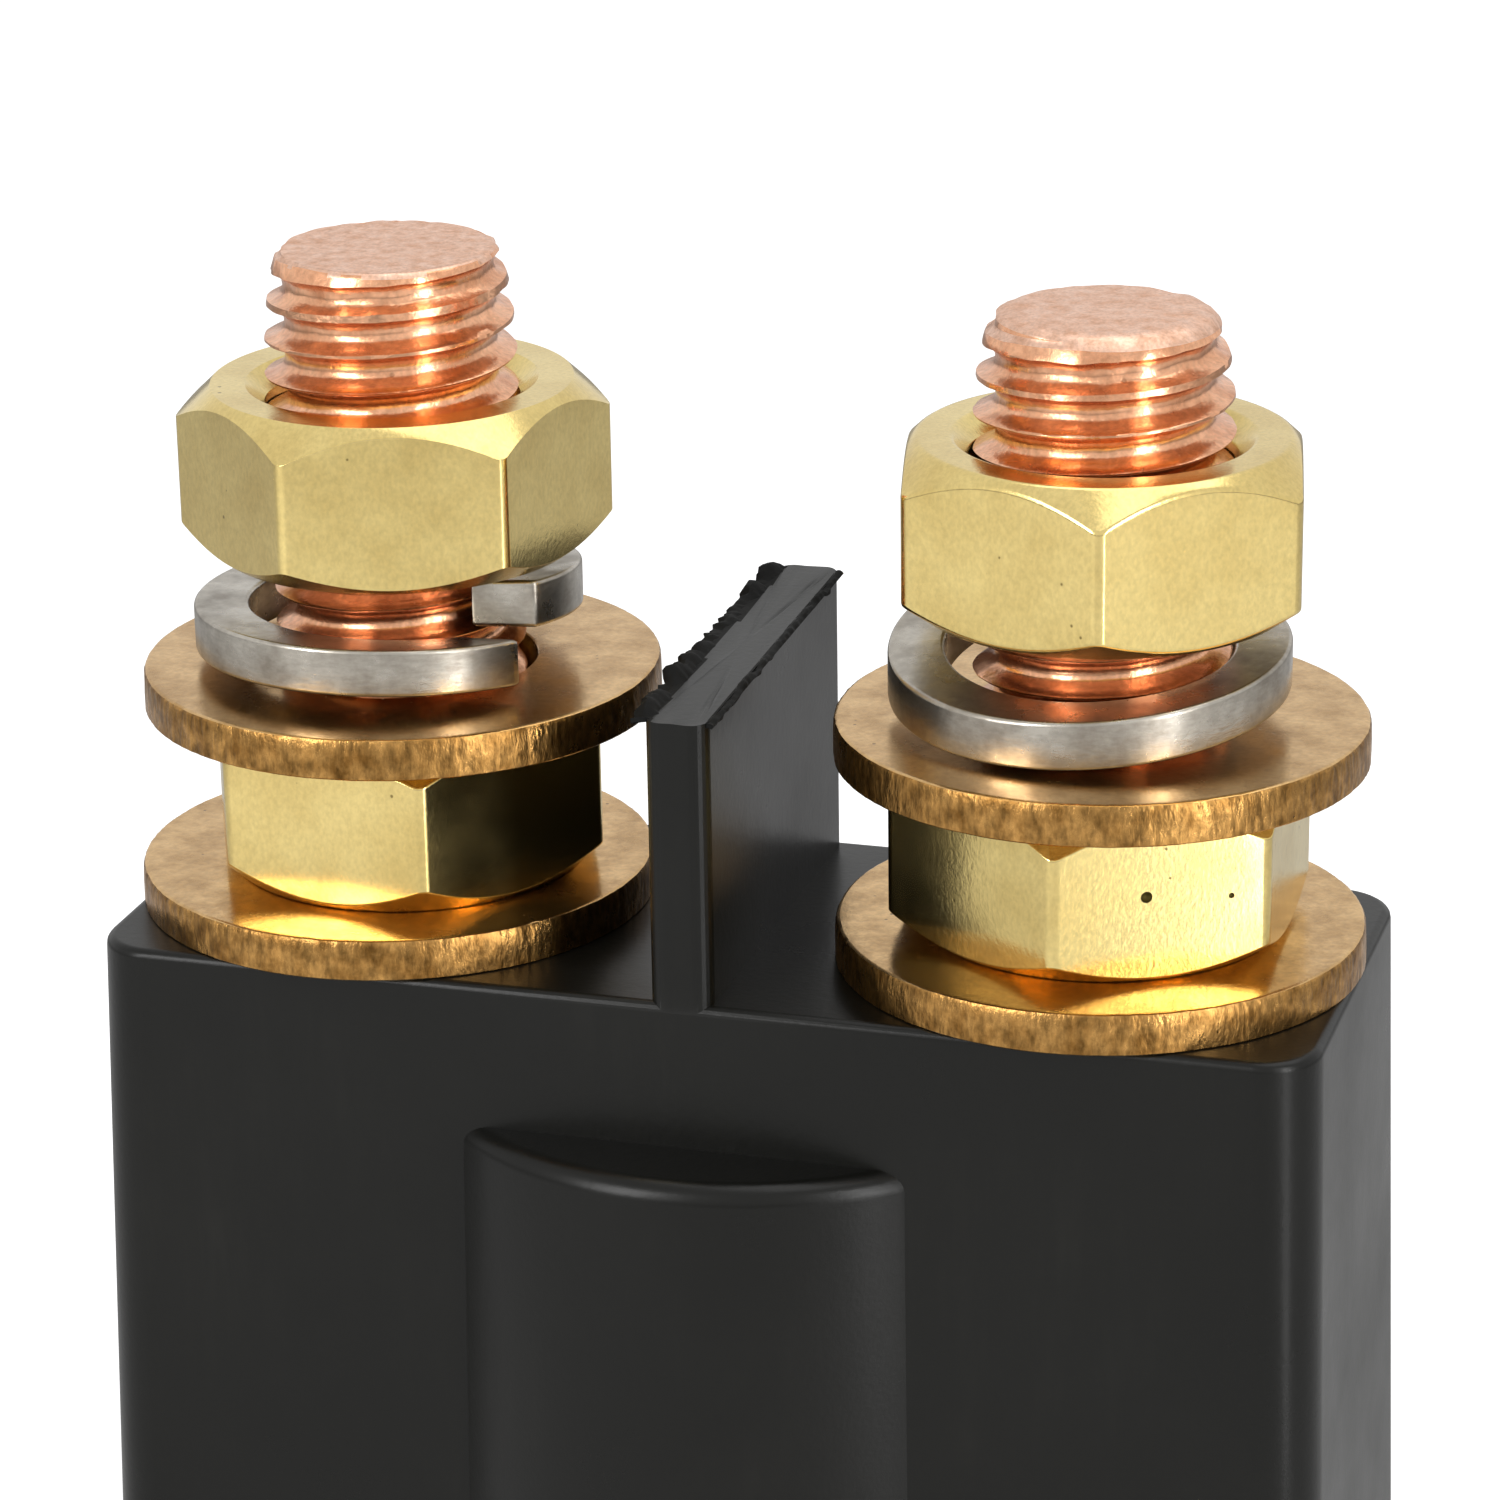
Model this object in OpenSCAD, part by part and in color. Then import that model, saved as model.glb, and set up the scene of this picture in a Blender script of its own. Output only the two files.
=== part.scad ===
// Battery isolator relay: a plunger solenoid under a moulded contact chamber with two copper studs.
// Millimetres, +Z up. The studs stand in a row along X, and the coil terminals face -Y.
// The origin is the centre of the underside of the mounting bracket.

/* [Cover] */
// Width of the cover at its top face, along the row of studs
cover_w = 59.1; // [57.5:0.1:66]
// Depth of the cover at its top face
cover_d = 22.6; // [21.5:0.1:28]
// Height of the cover, from the insulating plate to its top face
cover_h = 44; // [40:1:60]
// Thickness of the cover's side walls
cover_wall = 2.5; // [1.6:0.1:2.8]
// Thickness of the cover's roof, which the studs pass through
roof_t = 5; // [4:0.1:7]
// Draft of the moulded outer faces, in degrees a side
draft_angle = 1.35; // [0.2:0.05:2]
// Radius of the cover's upright corners
corner_r = 2.8; // [1:0.1:3.2]
// Width of the bevel round the cover's top face
top_edge = 0.5; // [0.2:0.1:1]
// Radius of the round boss at its ledge
boss_r = 15.75; // [15.3:0.05:18]
// Distance of the boss's ledge below the top face
boss_drop = 7.1; // [5.5:0.1:14]
// Radius of the rounded edge of the boss's ledge
boss_edge_r = 1; // [0.4:0.1:1.5]
// Thickness of the barrier between the studs
barrier_t = 3; // [2:0.1:5]
// Radius of the barrier's rounded upright edges
barrier_edge_r = 0.8; // [0.3:0.1:0.9]
// Height of the barrier above the top face
barrier_h = 14; // [6:0.5:24]

/* [Cover screws] */
// Diameter of the moulded columns that take the cover's screws
column_d = 7; // [6:0.1:8]
// Height of those columns
column_h = 12; // [10:0.5:14]
// Distance from a column to the outside of the cover at its base
column_inset = 1.1; // [0.6:0.1:1.6]
// Diameter of a cover screw
cover_screw_d = 3.5; // [2.5:0.1:4]
// Length of a cover screw's thread inside its column
cover_screw_bite = 8; // [5:0.5:9]
// Diameter of a cover screw's head
cover_screw_head_d = 6.4; // [5:0.1:7]
// Height of a cover screw's head
cover_screw_head_h = 2.2; // [1.5:0.1:3]

/* [Terminal studs] */
// Distance between the axes of the two studs
stud_spacing = 34.5; // [32.5:0.1:36]
// Diameter of a stud over its thread
stud_d = 12; // [10:0.1:12.4]
// How much thinner a stud is where the nuts and washers cover it
stud_relief = 0.4; // [0.3:0.05:0.6]
// Height of the left stud's end above the cover's top face
stud_rise_left = 32.2; // [31.6:0.1:40]
// Height of the right stud's end above the cover's top face
stud_rise_right = 31.3; // [31.3:0.1:40]
// Width of the bevel round a stud's end
stud_bevel = 0.8; // [0.3:0.1:1.2]
// Pitch of the stud's thread
thread_pitch = 1.75; // [1.25:0.25:1.75]
// Width of a thread groove at the stud's surface
thread_groove = 0.45; // [0.2:0.05:0.48]
// Depth of a thread groove
thread_depth = 0.5; // [0.2:0.05:0.8]
// Side of a stud's square head, inside the cover
stud_head_w = 15.5; // [13:0.1:16]
// Thickness of a stud's square head
stud_head_t = 4; // [3:0.1:5]

/* [Nuts and washers] */
// Width of a nut across its flats
nut_af = 18; // [17:0.1:19]
// Height of a nut
nut_h = 8; // [6:0.1:8]
// Diameter of the flat ring on a nut's end
nut_ring_d = 17.2; // [16:0.1:17.6]
// Slope of the bevelled corners on a nut's upper end, in degrees
nut_top_angle = 43; // [20:1:44]
// Slope of the bevelled corners on a nut's lower end, in degrees
nut_foot_angle = 36; // [20:1:44]
// Radial play of a nut on its stud
nut_air = 0.05; // [0.03:0.01:0.1]
// Turn of the left lower nut, in degrees
lower_turn_left = 53.9; // [0:0.1:60]
// Turn of the right lower nut, in degrees
lower_turn_right = 30.6; // [0:0.1:60]
// Turn of the left upper nut, in degrees
upper_turn_left = 19.6; // [0:0.1:60]
// Turn of the right upper nut, in degrees
upper_turn_right = 41.6; // [0:0.1:60]
// Outer diameter of a flat washer
washer_d = 25; // [20:0.1:26]
// Hole in a flat washer
washer_hole_d = 13; // [12.8:0.1:14]
// Thickness of a flat washer
washer_t = 2; // [1:0.1:2.2]
// Outer diameter of a spring washer
spring_washer_d = 18.7; // [18:0.1:20]
// Radial width of a spring washer's bar
spring_washer_w = 2.65; // [2:0.05:2.7]
// Thickness of a spring washer's bar
spring_washer_t = 2.3; // [1.5:0.1:2.4]
// Rise of a spring washer from its low end to its high end
spring_washer_rise = 2.6; // [2.4:0.05:3]
// Room for the left spring washer between the flat washer below it and its nut
spring_washer_room_left = 5.8; // [5.6:0.05:6.4]
// Room for the right spring washer between the flat washer below it and its nut
spring_washer_room_right = 5.45; // [5.2:0.05:6.4]
// Width of a spring washer's split, along its middle
split_w = 1; // [0.8:0.1:3]
// Angle between the outer and the inner edge of a spring washer's cut ends
split_skew = 13; // [0:1:20]
// Angle of the left spring washer's split from +X, in degrees
split_turn_left = -25; // [-180:1:180]
// Angle of the right spring washer's split from +X, in degrees
split_turn_right = 130; // [-180:1:180]
// How far the left spring washer leans, in degrees
lean_left = 4.3; // [0:0.1:5]
// How far the right spring washer leans, in degrees
lean_right = 7.8; // [0:0.1:8]
// Angle of the left spring washer's raised side from +X, in degrees
lean_turn_left = -59; // [-180:1:180]
// Angle of the right spring washer's raised side from +X, in degrees
lean_turn_right = 53; // [-180:1:180]
// Height of the left spring washer's lowest point above the flat washer
spring_air_left = 0.4; // [0.05:0.05:0.6]
// Height of the right spring washer's lowest point above the flat washer
spring_air_right = 0.1; // [0.05:0.05:0.6]
// How far the loose washers have slid to the left on their studs
washer_slide = 0.6; // [0:0.05:0.65]

/* [Contacts] */
// Diameter of a silver contact tip
tip_d = 10; // [8:0.1:11]
// Thickness of a silver contact tip
tip_t = 1.2; // [0.8:0.1:1.6]
// Distance between the open contacts
contact_gap = 3; // [2:0.1:3.5]
// Travel of the plunger left over once the contacts meet
over_travel = 1; // [0.5:0.1:1.2]
// Depth of the copper bridge bar
bridge_d = 12; // [11:0.1:14]
// Thickness of the bridge bar
bridge_t = 3; // [2:0.1:4]
// How far the bridge bar runs past each stud's axis
bridge_end = 6.25; // [5.6:0.05:6.6]

/* [Plunger and rod] */
// Diameter of the plunger
plunger_d = 14.6; // [13.6:0.1:15]
// Length of the plunger
plunger_h = 19.3; // [16:0.1:22]
// Thickness of the plunger left under the rod
rod_bed = 4; // [2:0.1:6]
// Diameter of the push rod
rod_d = 5; // [4.4:0.1:5.4]
// Diameter of the push rod's neck, from the spring seat up
neck_d = 4; // [3.2:0.1:4.2]
// Length of the neck above its clip
neck_end = 1.2; // [0.6:0.1:2]
// Diameter of the bush that carries the bridge bar
hub_d = 8.4; // [7.4:0.1:8.8]
// Diameter of the bush's flange, the contact spring's seat
seat_d = 14; // [13.6:0.1:15]
// Thickness of the bush's flange
seat_t = 2; // [1.5:0.1:3]
// Diameter of the insulating washer above the bridge bar
cap_d = 11; // [10.4:0.1:12]
// Thickness of that washer
cap_t = 1; // [0.6:0.1:1.4]
// Diameter of the rod's clip
clip_d = 8; // [6:0.1:9]
// Thickness of the rod's clip
clip_t = 0.8; // [0.5:0.1:1.2]
// Depth of the clip's groove in the neck
clip_groove = 0.5; // [0.3:0.1:0.7]
// Width of the clip's mouth
clip_mouth = 2.4; // [1.5:0.1:2.6]
// Thickness of the rubber stop under the plunger
stop_t = 1.7; // [1:0.1:3]
// Radial play of the plunger, the rod and the bridge bar in what guides them
guide_air = 0.1; // [0.05:0.01:0.1]

/* [Springs] */
// Wire of the return spring
return_wire = 0.8; // [0.5:0.05:0.9]
// Mean diameter of the return spring
return_d = 7.8; // [7.2:0.1:8]
// Curls of the return spring
return_curls = 9; // [5:1:10]
// Depth of the return spring's pocket in the fixed core
core_pocket = 8; // [6:0.5:12]
// Depth of the return spring's pocket in the plunger
plunger_pocket = 6; // [4:0.5:8]
// Diameter of both pockets
pocket_d = 9.8; // [9.4:0.1:10.4]
// Wire of the contact spring
contact_wire = 1.2; // [0.8:0.05:1.3]
// Mean diameter of the contact spring
contact_spring_d = 11.2; // [11:0.1:12]
// Length of the contact spring at rest
contact_spring_h = 11.6; // [10:0.1:12.5]
// Curls of the contact spring
contact_curls = 5; // [3:1:5]

/* [Coil] */
// Wall of the brass guide tube
tube_t = 0.4; // [0.3:0.05:0.8]
// Wall of the bobbin's barrel
bobbin_wall = 1.1; // [0.8:0.1:2]
// Thickness of the bobbin's end flanges
flange_t = 2; // [1.5:0.1:3]
// How far a flange stands out past the tape round the coil
flange_lip = 0.3; // [0.1:0.1:0.6]
// Depth of the copper winding
winding_t = 5.8; // [4:0.1:6.4]
// Thickness of the tape round the winding
wrap_t = 0.8; // [0.4:0.1:1.2]

/* [Magnet frame] */
// Inner height of the magnet frame
bay_h = 38; // [34:1:50]
// Depth of the magnet frame
frame_d = 32; // [26:0.5:33]
// Thickness of the magnet frame
frame_t = 3; // [2.5:0.1:4]
// Outer radius of the frame's two bends
bend_r = 3.5; // [3.2:0.1:6]
// Room between the bobbin's flanges and the frame's sides
coil_side_air = 1.9; // [1:0.1:3]
// Width of the tenon on top of each side of the frame
tenon_w = 14; // [8:0.5:18]
// Thickness of the pole plate
pole_t = 4; // [3:0.1:5]
// Diameter of the fixed core's neck, in the pole plate
core_neck_d = 11; // [9:0.1:13]
// Thickness of the insulating plate
plate_t = 1.5; // [1:0.1:2.5]
// Hole in the insulating plate for the rod
plate_hole_d = 7; // [6:0.1:9]

/* [Mounting bracket] */
// Width of the bracket
bracket_w = 86; // [84:1:110]
// Thickness of the bracket
bracket_t = 2.5; // [2.4:0.1:4]
// Radius of the bracket's corners
bracket_corner_r = 5; // [1:0.5:8]
// Distance from a mounting slot's centre to the bracket's end
slot_inset = 9; // [7.5:0.5:10]
// Width of a mounting slot
slot_w = 6.5; // [4.5:0.1:8]
// Length of a mounting slot, end to end
slot_l = 10; // [8.5:0.1:11]
// Diameter of a bracket screw
bracket_screw_d = 4; // [3:0.1:4.4]
// Diameter of a bracket screw's countersunk head
bracket_screw_head_d = 7.6; // [6:0.1:8]
// How far a bracket screw's head lies below the underside of the bracket
bracket_screw_sink = 0.2; // [0.1:0.05:0.3]
// Distance between the bracket screws along X
bracket_screw_x = 28; // [26:0.1:29]
// Distance from a bracket screw to the bracket's front or back edge
bracket_screw_inset = 6; // [4.5:0.1:8]

/* [Coil terminals] */
// Distance between the axes of the two coil studs
coil_stud_spacing = 16; // [13:0.1:17]
// Diameter of a coil stud
coil_stud_d = 4; // [3:0.1:5]
// How much thinner a coil stud is where its nut and block cover it
coil_stud_relief = 0.4; // [0.35:0.05:0.6]
// Length of a coil stud past its nut
coil_stud_free = 5; // [3:0.1:10]
// Diameter of a coil stud's head, inside the terminal block
coil_stud_head_d = 7; // [6:0.1:8]
// Thickness of a coil stud's head
coil_stud_head_t = 2; // [1:0.1:2.5]
// Width of a coil nut across its flats
coil_nut_af = 7; // [6.5:0.1:8]
// Height of a coil nut
coil_nut_h = 3.2; // [2.4:0.1:4]
// Diameter of a coil washer
coil_washer_d = 9; // [8:0.1:10]
// Thickness of a coil washer
coil_washer_t = 0.8; // [0.5:0.1:1.2]
// Height of the terminal block
block_h = 12; // [11:0.1:14]
// How far the terminal block stands out from the bobbin's flange
block_out = 7.9; // [6:0.1:10]
// Width of the terminal block past each coil stud's axis
block_side = 6.5; // [5.2:0.1:7]
// Thickness of the rib between the coil studs
rib_t = 1.5; // [1:0.1:2.4]
// How far the rib stands out from the terminal block
rib_out = 4; // [2:0.1:6]
// Diameter of a coil lead
lead_d = 1.2; // [0.6:0.1:1.6]

/* [Fits] */
// Gap between curved faces that are seated in each other
seat_air = 0.1; // [0.05:0.01:0.15]
// Gap round a screw or stud in its clearance hole
hole_air = 0.15; // [0.1:0.05:0.3]

/* [Hidden] */
$fn = 64;

// One overrun for every cut
overrun = 1;
// Facets of the cover's rounded corners, and the thickness of the slices that its hulls join
corner_facets = 32;
slice_t = 0.02;
// Angle between the points of a rounded edge
arc_step = 15;
// Rings a curl and sides of a spring's wire
spring_rings = 8;
wire_sides = 6;
// Rings of a spring washer
washer_rings = 40;

// Heights, from the underside of the bracket up
frame_z = bracket_t;
bay_z = frame_z + frame_t;
pole_z = bay_z + bay_h;
plate_z = pole_z + pole_t;
cover_z = plate_z + plate_t;
top_z = cover_z + cover_h;
roof_z = top_z - roof_t;
ledge_z = top_z - boss_drop;

// The stack on each stud, from the cover's top face up
lower_nut_z = top_z + washer_t;
upper_washer_z = lower_nut_z + nut_h;
spring_washer_z = upper_washer_z + washer_t;
function upper_nut_z(side) =
    spring_washer_z + (side == left ? spring_washer_room_left : spring_washer_room_right);

// The open contacts, from the roof down
head_z = roof_z - stud_head_t;
fixed_tip_z = head_z - tip_t;
bridge_top_z = fixed_tip_z - contact_gap - tip_t;
bridge_z = bridge_top_z - bridge_t;
seat_top_z = bridge_z - contact_spring_h;
seat_z = seat_top_z - seat_t;
clip_z = bridge_top_z + cap_t;
rod_top_z = clip_z + clip_t + neck_end;

// The plunger at rest, and the fixed core a full stroke above it
stroke = contact_gap + over_travel;
plunger_z = frame_z + stop_t;
plunger_top_z = plunger_z + plunger_h;
core_z = plunger_top_z + stroke;
rod_z = plunger_z + rod_bed;
return_spring_z = plunger_top_z - plunger_pocket;
return_spring_h = plunger_pocket + stroke + core_pocket;

// Radii round the solenoid's axis, from the inside out
tube_in_r = plunger_d / 2 + guide_air;
tube_out_r = tube_in_r + tube_t;
bobbin_in_r = tube_out_r + seat_air;
bobbin_out_r = bobbin_in_r + bobbin_wall;
winding_in_r = bobbin_out_r + seat_air;
winding_out_r = winding_in_r + winding_t;
wrap_in_r = winding_out_r + seat_air;
wrap_out_r = wrap_in_r + wrap_t;
flange_r = wrap_out_r + flange_lip;
winding_z = bay_z + flange_t;
winding_h = bay_h - 2 * flange_t;
frame_w = 2 * (flange_r + coil_side_air + frame_t);

// The bracket is as deep as the magnet frame that stands on it
bracket_d = frame_d;
slot_x = bracket_w / 2 - slot_inset;
bracket_screw_y = bracket_d - 2 * bracket_screw_inset;

// The cover at its base
grow = cover_h * tan(draft_angle);
base_w = cover_w + 2 * grow;
base_d = cover_d + 2 * grow;
boss_base_r = boss_r + (ledge_z - cover_z) * tan(draft_angle);
column_x = base_w / 2 - column_inset - column_d / 2;
column_y = base_d / 2 - column_inset - column_d / 2;

// Studs, nuts and washers
stud_x = stud_spacing / 2;
nut_hole_r = stud_d / 2 + nut_air;
split_angle = split_w / (PI * (spring_washer_d - spring_washer_w)) * 360;

// Coil terminals, on the front of the bobbin's top flange
block_front_y = -flange_r - block_out;
coil_stud_x = coil_stud_spacing / 2;
coil_stud_z = pole_z - block_h / 2;
coil_nut_y = block_front_y - coil_washer_t;
coil_stud_end_y = coil_nut_y - coil_nut_h - coil_stud_free;
lead_y = -sqrt(pow(winding_out_r, 2) - pow(coil_stud_x - lead_d / 2, 2)) - seat_air;

// Two sides of the relay
left = -1;
right = 1;

// The four corners of a rectangle about the origin
module at_corners(x, y) {
    for (sx = [left, right], sy = [left, right]) translate([sx * x, sy * y, 0]) children();
}

// A rectangle about the origin with round corners
module round_rectangle(w, d, r) {
    square([w - 2 * r, d], center = true);
    square([w, d - 2 * r], center = true);
    at_corners(w / 2 - r, d / 2 - r) circle(r);
}

// A flat ring that stands on height z
module ring(outer_r, inner_r, h, z) {
    translate([0, 0, z]) difference() {
        cylinder(r = outer_r, h = h);
        translate([0, 0, -overrun]) cylinder(r = inner_r, h = h + 2 * overrun);
    }
}

// A hexagon nut with bevelled corners, its hole and its lower face at the origin
module hex_nut(af, h, ring_r, foot_angle, top_angle, hole_r, turn) {
    corner_r_out = af / sqrt(3);
    foot_bevel_h = (corner_r_out - ring_r) * tan(foot_angle);
    top_bevel_h = (corner_r_out - ring_r) * tan(top_angle);
    rotate([0, 0, turn]) difference() {
        intersection() {
            cylinder(r = corner_r_out, h = h, $fn = 6);
            rotate_extrude() polygon([
                [0, 0], [ring_r, 0], [corner_r_out, foot_bevel_h],
                [corner_r_out, h - top_bevel_h], [ring_r, h], [0, h]
            ]);
        }
        translate([0, 0, -overrun]) cylinder(r = hole_r, h = h + 2 * overrun);
    }
}

// One M12 terminal nut
module terminal_nut(side, z, foot_angle, top_angle, turn) {
    translate([side * stud_x, 0, z])
        hex_nut(nut_af, nut_h, nut_ring_d / 2, foot_angle, top_angle, nut_hole_r, turn);
}

// One flat washer on a stud
module flat_washer(side, z) {
    translate([side * stud_x, 0, 0]) ring(washer_d / 2, washer_hole_d / 2, washer_t, z);
}

module lower_washer(side, slide) {
    color("#b08d57") translate([-slide, 0, 0]) flat_washer(side, top_z);
}

module upper_washer(side) {
    color("#b08d57") flat_washer(side, upper_washer_z);
}

// The left lower nut is fitted the other way up
module lower_nut(side, turn) {
    angles = side == left
        ? [nut_top_angle, nut_foot_angle]
        : [nut_foot_angle, nut_top_angle];
    color("#d4b24c") terminal_nut(side, lower_nut_z, angles[0], angles[1], turn);
}

module upper_nut(side, turn) {
    color("#d4b24c")
        terminal_nut(side, upper_nut_z(side), nut_foot_angle, nut_top_angle, turn);
}

// Triangles of a closed tube of n rings with m points each
function tube_faces(n, m) = concat(
    [for (i = [0:n - 2], j = [0:m - 1]) [i * m + j, (i + 1) * m + (j + 1) % m, i * m + (j + 1) % m]],
    [for (i = [0:n - 2], j = [0:m - 1]) [i * m + j, (i + 1) * m + j, (i + 1) * m + (j + 1) % m]],
    [for (j = [1:m - 2]) [0, j, j + 1]],
    [for (j = [1:m - 2]) [(n - 1) * m, (n - 1) * m + j + 1, (n - 1) * m + j]]
);

// A point at radius r, angle a and height z
function around(r, a, z) = [r * cos(a), r * sin(a), z];

// Centre line of a coil spring between heights z and z + h
function coil_line(r, wire, curls, z, h) = [
    for (i = [0:curls * spring_rings])
        around(r, 360 * i / spring_rings, z + wire / 2 + (h - wire) * i / (curls * spring_rings))
];

// Least gap between a coil line's points that are more than half a curl apart
function least_coil_gap(line, wire) = min([
    for (i = [0:len(line) - 1], j = [i:len(line) - 1])
        if (j - i > spring_rings / 2) norm(line[j] - line[i]) - wire
]);

// A coil spring on the solenoid's axis
module coil_spring(mean_d, wire, curls, z, h) {
    count = curls * spring_rings;
    points = [
        for (i = [0:count], j = [0:wire_sides - 1])
            around(
                mean_d / 2 + wire / 2 * cos(360 * j / wire_sides), 360 * i / spring_rings,
                z + wire / 2 + (h - wire) * i / count + wire / 2 * sin(360 * j / wire_sides)
            )
    ];
    polyhedron(points, tube_faces(count + 1, wire_sides));
}

// A point of a leaning ring
function leaning(r, a, z, lean, lean_turn) = around(r, a, z + r * cos(a - lean_turn) * tan(lean));

// Corners of a spring washer's bar: it climbs clockwise from its low end, and leans as a whole
function washer_ring(i, turn, lean, lean_turn) =
    let (
        a = turn - split_angle / 2 - i * (360 - split_angle) / washer_rings,
        z = i * spring_washer_rise / washer_rings,
        r_out = spring_washer_d / 2,
        r_in = r_out - spring_washer_w
    )
    [
        leaning(r_in, a - split_skew, z, lean, lean_turn),
        leaning(r_in, a - split_skew, z + spring_washer_t, lean, lean_turn),
        leaning(r_out, a, z + spring_washer_t, lean, lean_turn),
        leaning(r_out, a, z, lean, lean_turn)
    ];

// Least gap between the two ends of a spring washer
function split_gap() = min([
    for (i = [0:washer_rings / 4], p = washer_ring(i, 0, 0, 0))
        for (j = [washer_rings * 3 / 4:washer_rings], q = washer_ring(j, 0, 0, 0)) norm(p - q)
]);

// One spring washer, loose on its stud and split at an angle from +X
module spring_washer(side, turn, lean, lean_turn, air) {
    corners = [for (i = [0:washer_rings]) each washer_ring(i, turn, lean, lean_turn)];
    lowest = min([for (corner = corners) corner[2]]);
    color("lightgray")
        translate([side * stud_x - washer_slide, 0, spring_washer_z + air - lowest])
            polyhedron(corners, tube_faces(washer_rings + 1, 4));
}

echo(
    return_spring_gap = least_coil_gap(
        coil_line(return_d / 2, return_wire, return_curls, 0, return_spring_h), return_wire
    ),
    contact_spring_gap = least_coil_gap(
        coil_line(contact_spring_d / 2, contact_wire, contact_curls, 0, contact_spring_h),
        contact_wire
    ),
    spring_washer_gap = split_gap()
);

// Mounting bracket: a flat steel strap with a slot at each end
module mounting_bracket() {
    color("silver") difference() {
        linear_extrude(bracket_t) difference() {
            round_rectangle(bracket_w, bracket_d, bracket_corner_r);
            for (side = [left, right]) translate([side * slot_x, 0])
                mounting_slot();
            at_corners(bracket_screw_x / 2, bracket_screw_y / 2)
                circle(d = bracket_screw_d + 2 * hole_air);
        }
        at_corners(bracket_screw_x / 2, bracket_screw_y / 2) countersink(hole_air);
    }
}

module mounting_slot() {
    square([slot_l - slot_w, slot_w], center = true);
    for (end = [left, right]) translate([end * (slot_l - slot_w) / 2, 0]) circle(d = slot_w);
}

// The cone under a bracket screw's head, grown by a gap and open downwards by it
module countersink(gap) {
    cone_h = (bracket_screw_head_d - bracket_screw_d) / 2;
    rotate_extrude() polygon([
        [0, -overrun], [bracket_screw_head_d / 2 + gap, -overrun],
        [bracket_screw_head_d / 2 + gap, bracket_screw_sink],
        [bracket_screw_d / 2 + gap, bracket_screw_sink + cone_h],
        [0, bracket_screw_sink + cone_h]
    ]);
}

// Four countersunk screws that hold the bracket to the magnet frame
module bracket_screws() {
    cone_h = (bracket_screw_head_d - bracket_screw_d) / 2;
    color("gainsboro") at_corners(bracket_screw_x / 2, bracket_screw_y / 2)
        rotate_extrude() polygon([
            [0, bracket_screw_sink], [bracket_screw_head_d / 2, bracket_screw_sink],
            [bracket_screw_d / 2, bracket_screw_sink + cone_h],
            [bracket_screw_d / 2, bay_z], [0, bay_z]
        ]);
}

// Magnet frame: a steel strip bent into a U, with a tenon on top of each side
module magnet_frame() {
    color("silver") difference() {
        union() {
            translate([0, frame_d / 2, 0]) rotate([90, 0, 0]) linear_extrude(frame_d)
                frame_outline();
            for (side = [left, right])
                translate([side * (frame_w - frame_t) / 2, 0, pole_z - frame_t])
                    linear_extrude(pole_t + frame_t) square([frame_t, tenon_w], center = true);
        }
        translate([0, 0, frame_z - overrun])
            cylinder(r = tube_out_r + seat_air, h = frame_t + 2 * overrun);
        at_corners(bracket_screw_x / 2, bracket_screw_y / 2)
            cylinder(d = bracket_screw_d + 2 * hole_air, h = bay_z + overrun);
    }
}

// The U seen from the front: upright sides, a flat bottom and a bend at each corner
module frame_outline() {
    difference() {
        union() {
            translate([-frame_w / 2 + bend_r, frame_z]) square([frame_w - 2 * bend_r, bay_h]);
            translate([-frame_w / 2, frame_z + bend_r])
                square([frame_w, pole_z - frame_z - bend_r]);
            for (side = [left, right])
                translate([side * (frame_w / 2 - bend_r), frame_z + bend_r]) circle(bend_r);
        }
        bend_in_r = bend_r - frame_t;
        translate([-frame_w / 2 + frame_t + bend_in_r, bay_z])
            square([frame_w - 2 * frame_t - 2 * bend_in_r, bay_h + overrun]);
        translate([-frame_w / 2 + frame_t, bay_z + bend_in_r])
            square([frame_w - 2 * frame_t, bay_h + overrun]);
        for (side = [left, right])
            translate([side * (frame_w / 2 - bend_r), bay_z + bend_in_r]) circle(bend_in_r);
    }
}

// Outline of the cover's base, which the insulating plate repeats
module base_outline() {
    round_rectangle(base_w, base_d, corner_r);
    circle(boss_base_r);
}

// Clearance holes for the four cover screws
module cover_screw_holes() {
    at_corners(column_x, column_y) circle(d = cover_screw_d + 2 * hole_air);
}

// Pole plate: closes the magnet frame and carries the cover
module pole_plate() {
    color("silver") translate([0, 0, pole_z]) linear_extrude(pole_t) difference() {
        union() {
            base_outline();
            square([frame_w, frame_d], center = true);
        }
        circle(d = core_neck_d + 2 * seat_air);
        cover_screw_holes();
        for (side = [left, right]) translate([side * (frame_w - frame_t) / 2, 0])
            square([frame_t + 2 * seat_air, tenon_w + 2 * seat_air], center = true);
    }
}

// Insulating plate: the floor of the contact chamber
module insulating_plate() {
    color("saddlebrown") translate([0, 0, plate_z]) linear_extrude(plate_t) difference() {
        base_outline();
        circle(d = plate_hole_d);
        cover_screw_holes();
    }
}

// Fixed core: the pole face above the plunger, with its neck in the pole plate
module fixed_core() {
    color("lightgray") difference() {
        union() {
            translate([0, 0, core_z]) cylinder(d = plunger_d, h = pole_z - core_z);
            translate([0, 0, core_z]) cylinder(d = core_neck_d, h = plate_z - core_z);
        }
        translate([0, 0, core_z - overrun])
            cylinder(r = rod_d / 2 + guide_air, h = plate_z - core_z + 2 * overrun);
        translate([0, 0, core_z - overrun]) cylinder(d = pocket_d, h = core_pocket + overrun);
    }
}

// Guide tube: thin brass, round the plunger and the fixed core
module guide_tube() {
    color("goldenrod") ring(tube_out_r, tube_in_r, pole_z - frame_z, frame_z);
}

// Rubber stop that the plunger rests on
module plunger_stop() {
    color("black") translate([0, 0, frame_z])
        cylinder(r = tube_in_r - seat_air, h = stop_t);
}

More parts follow.
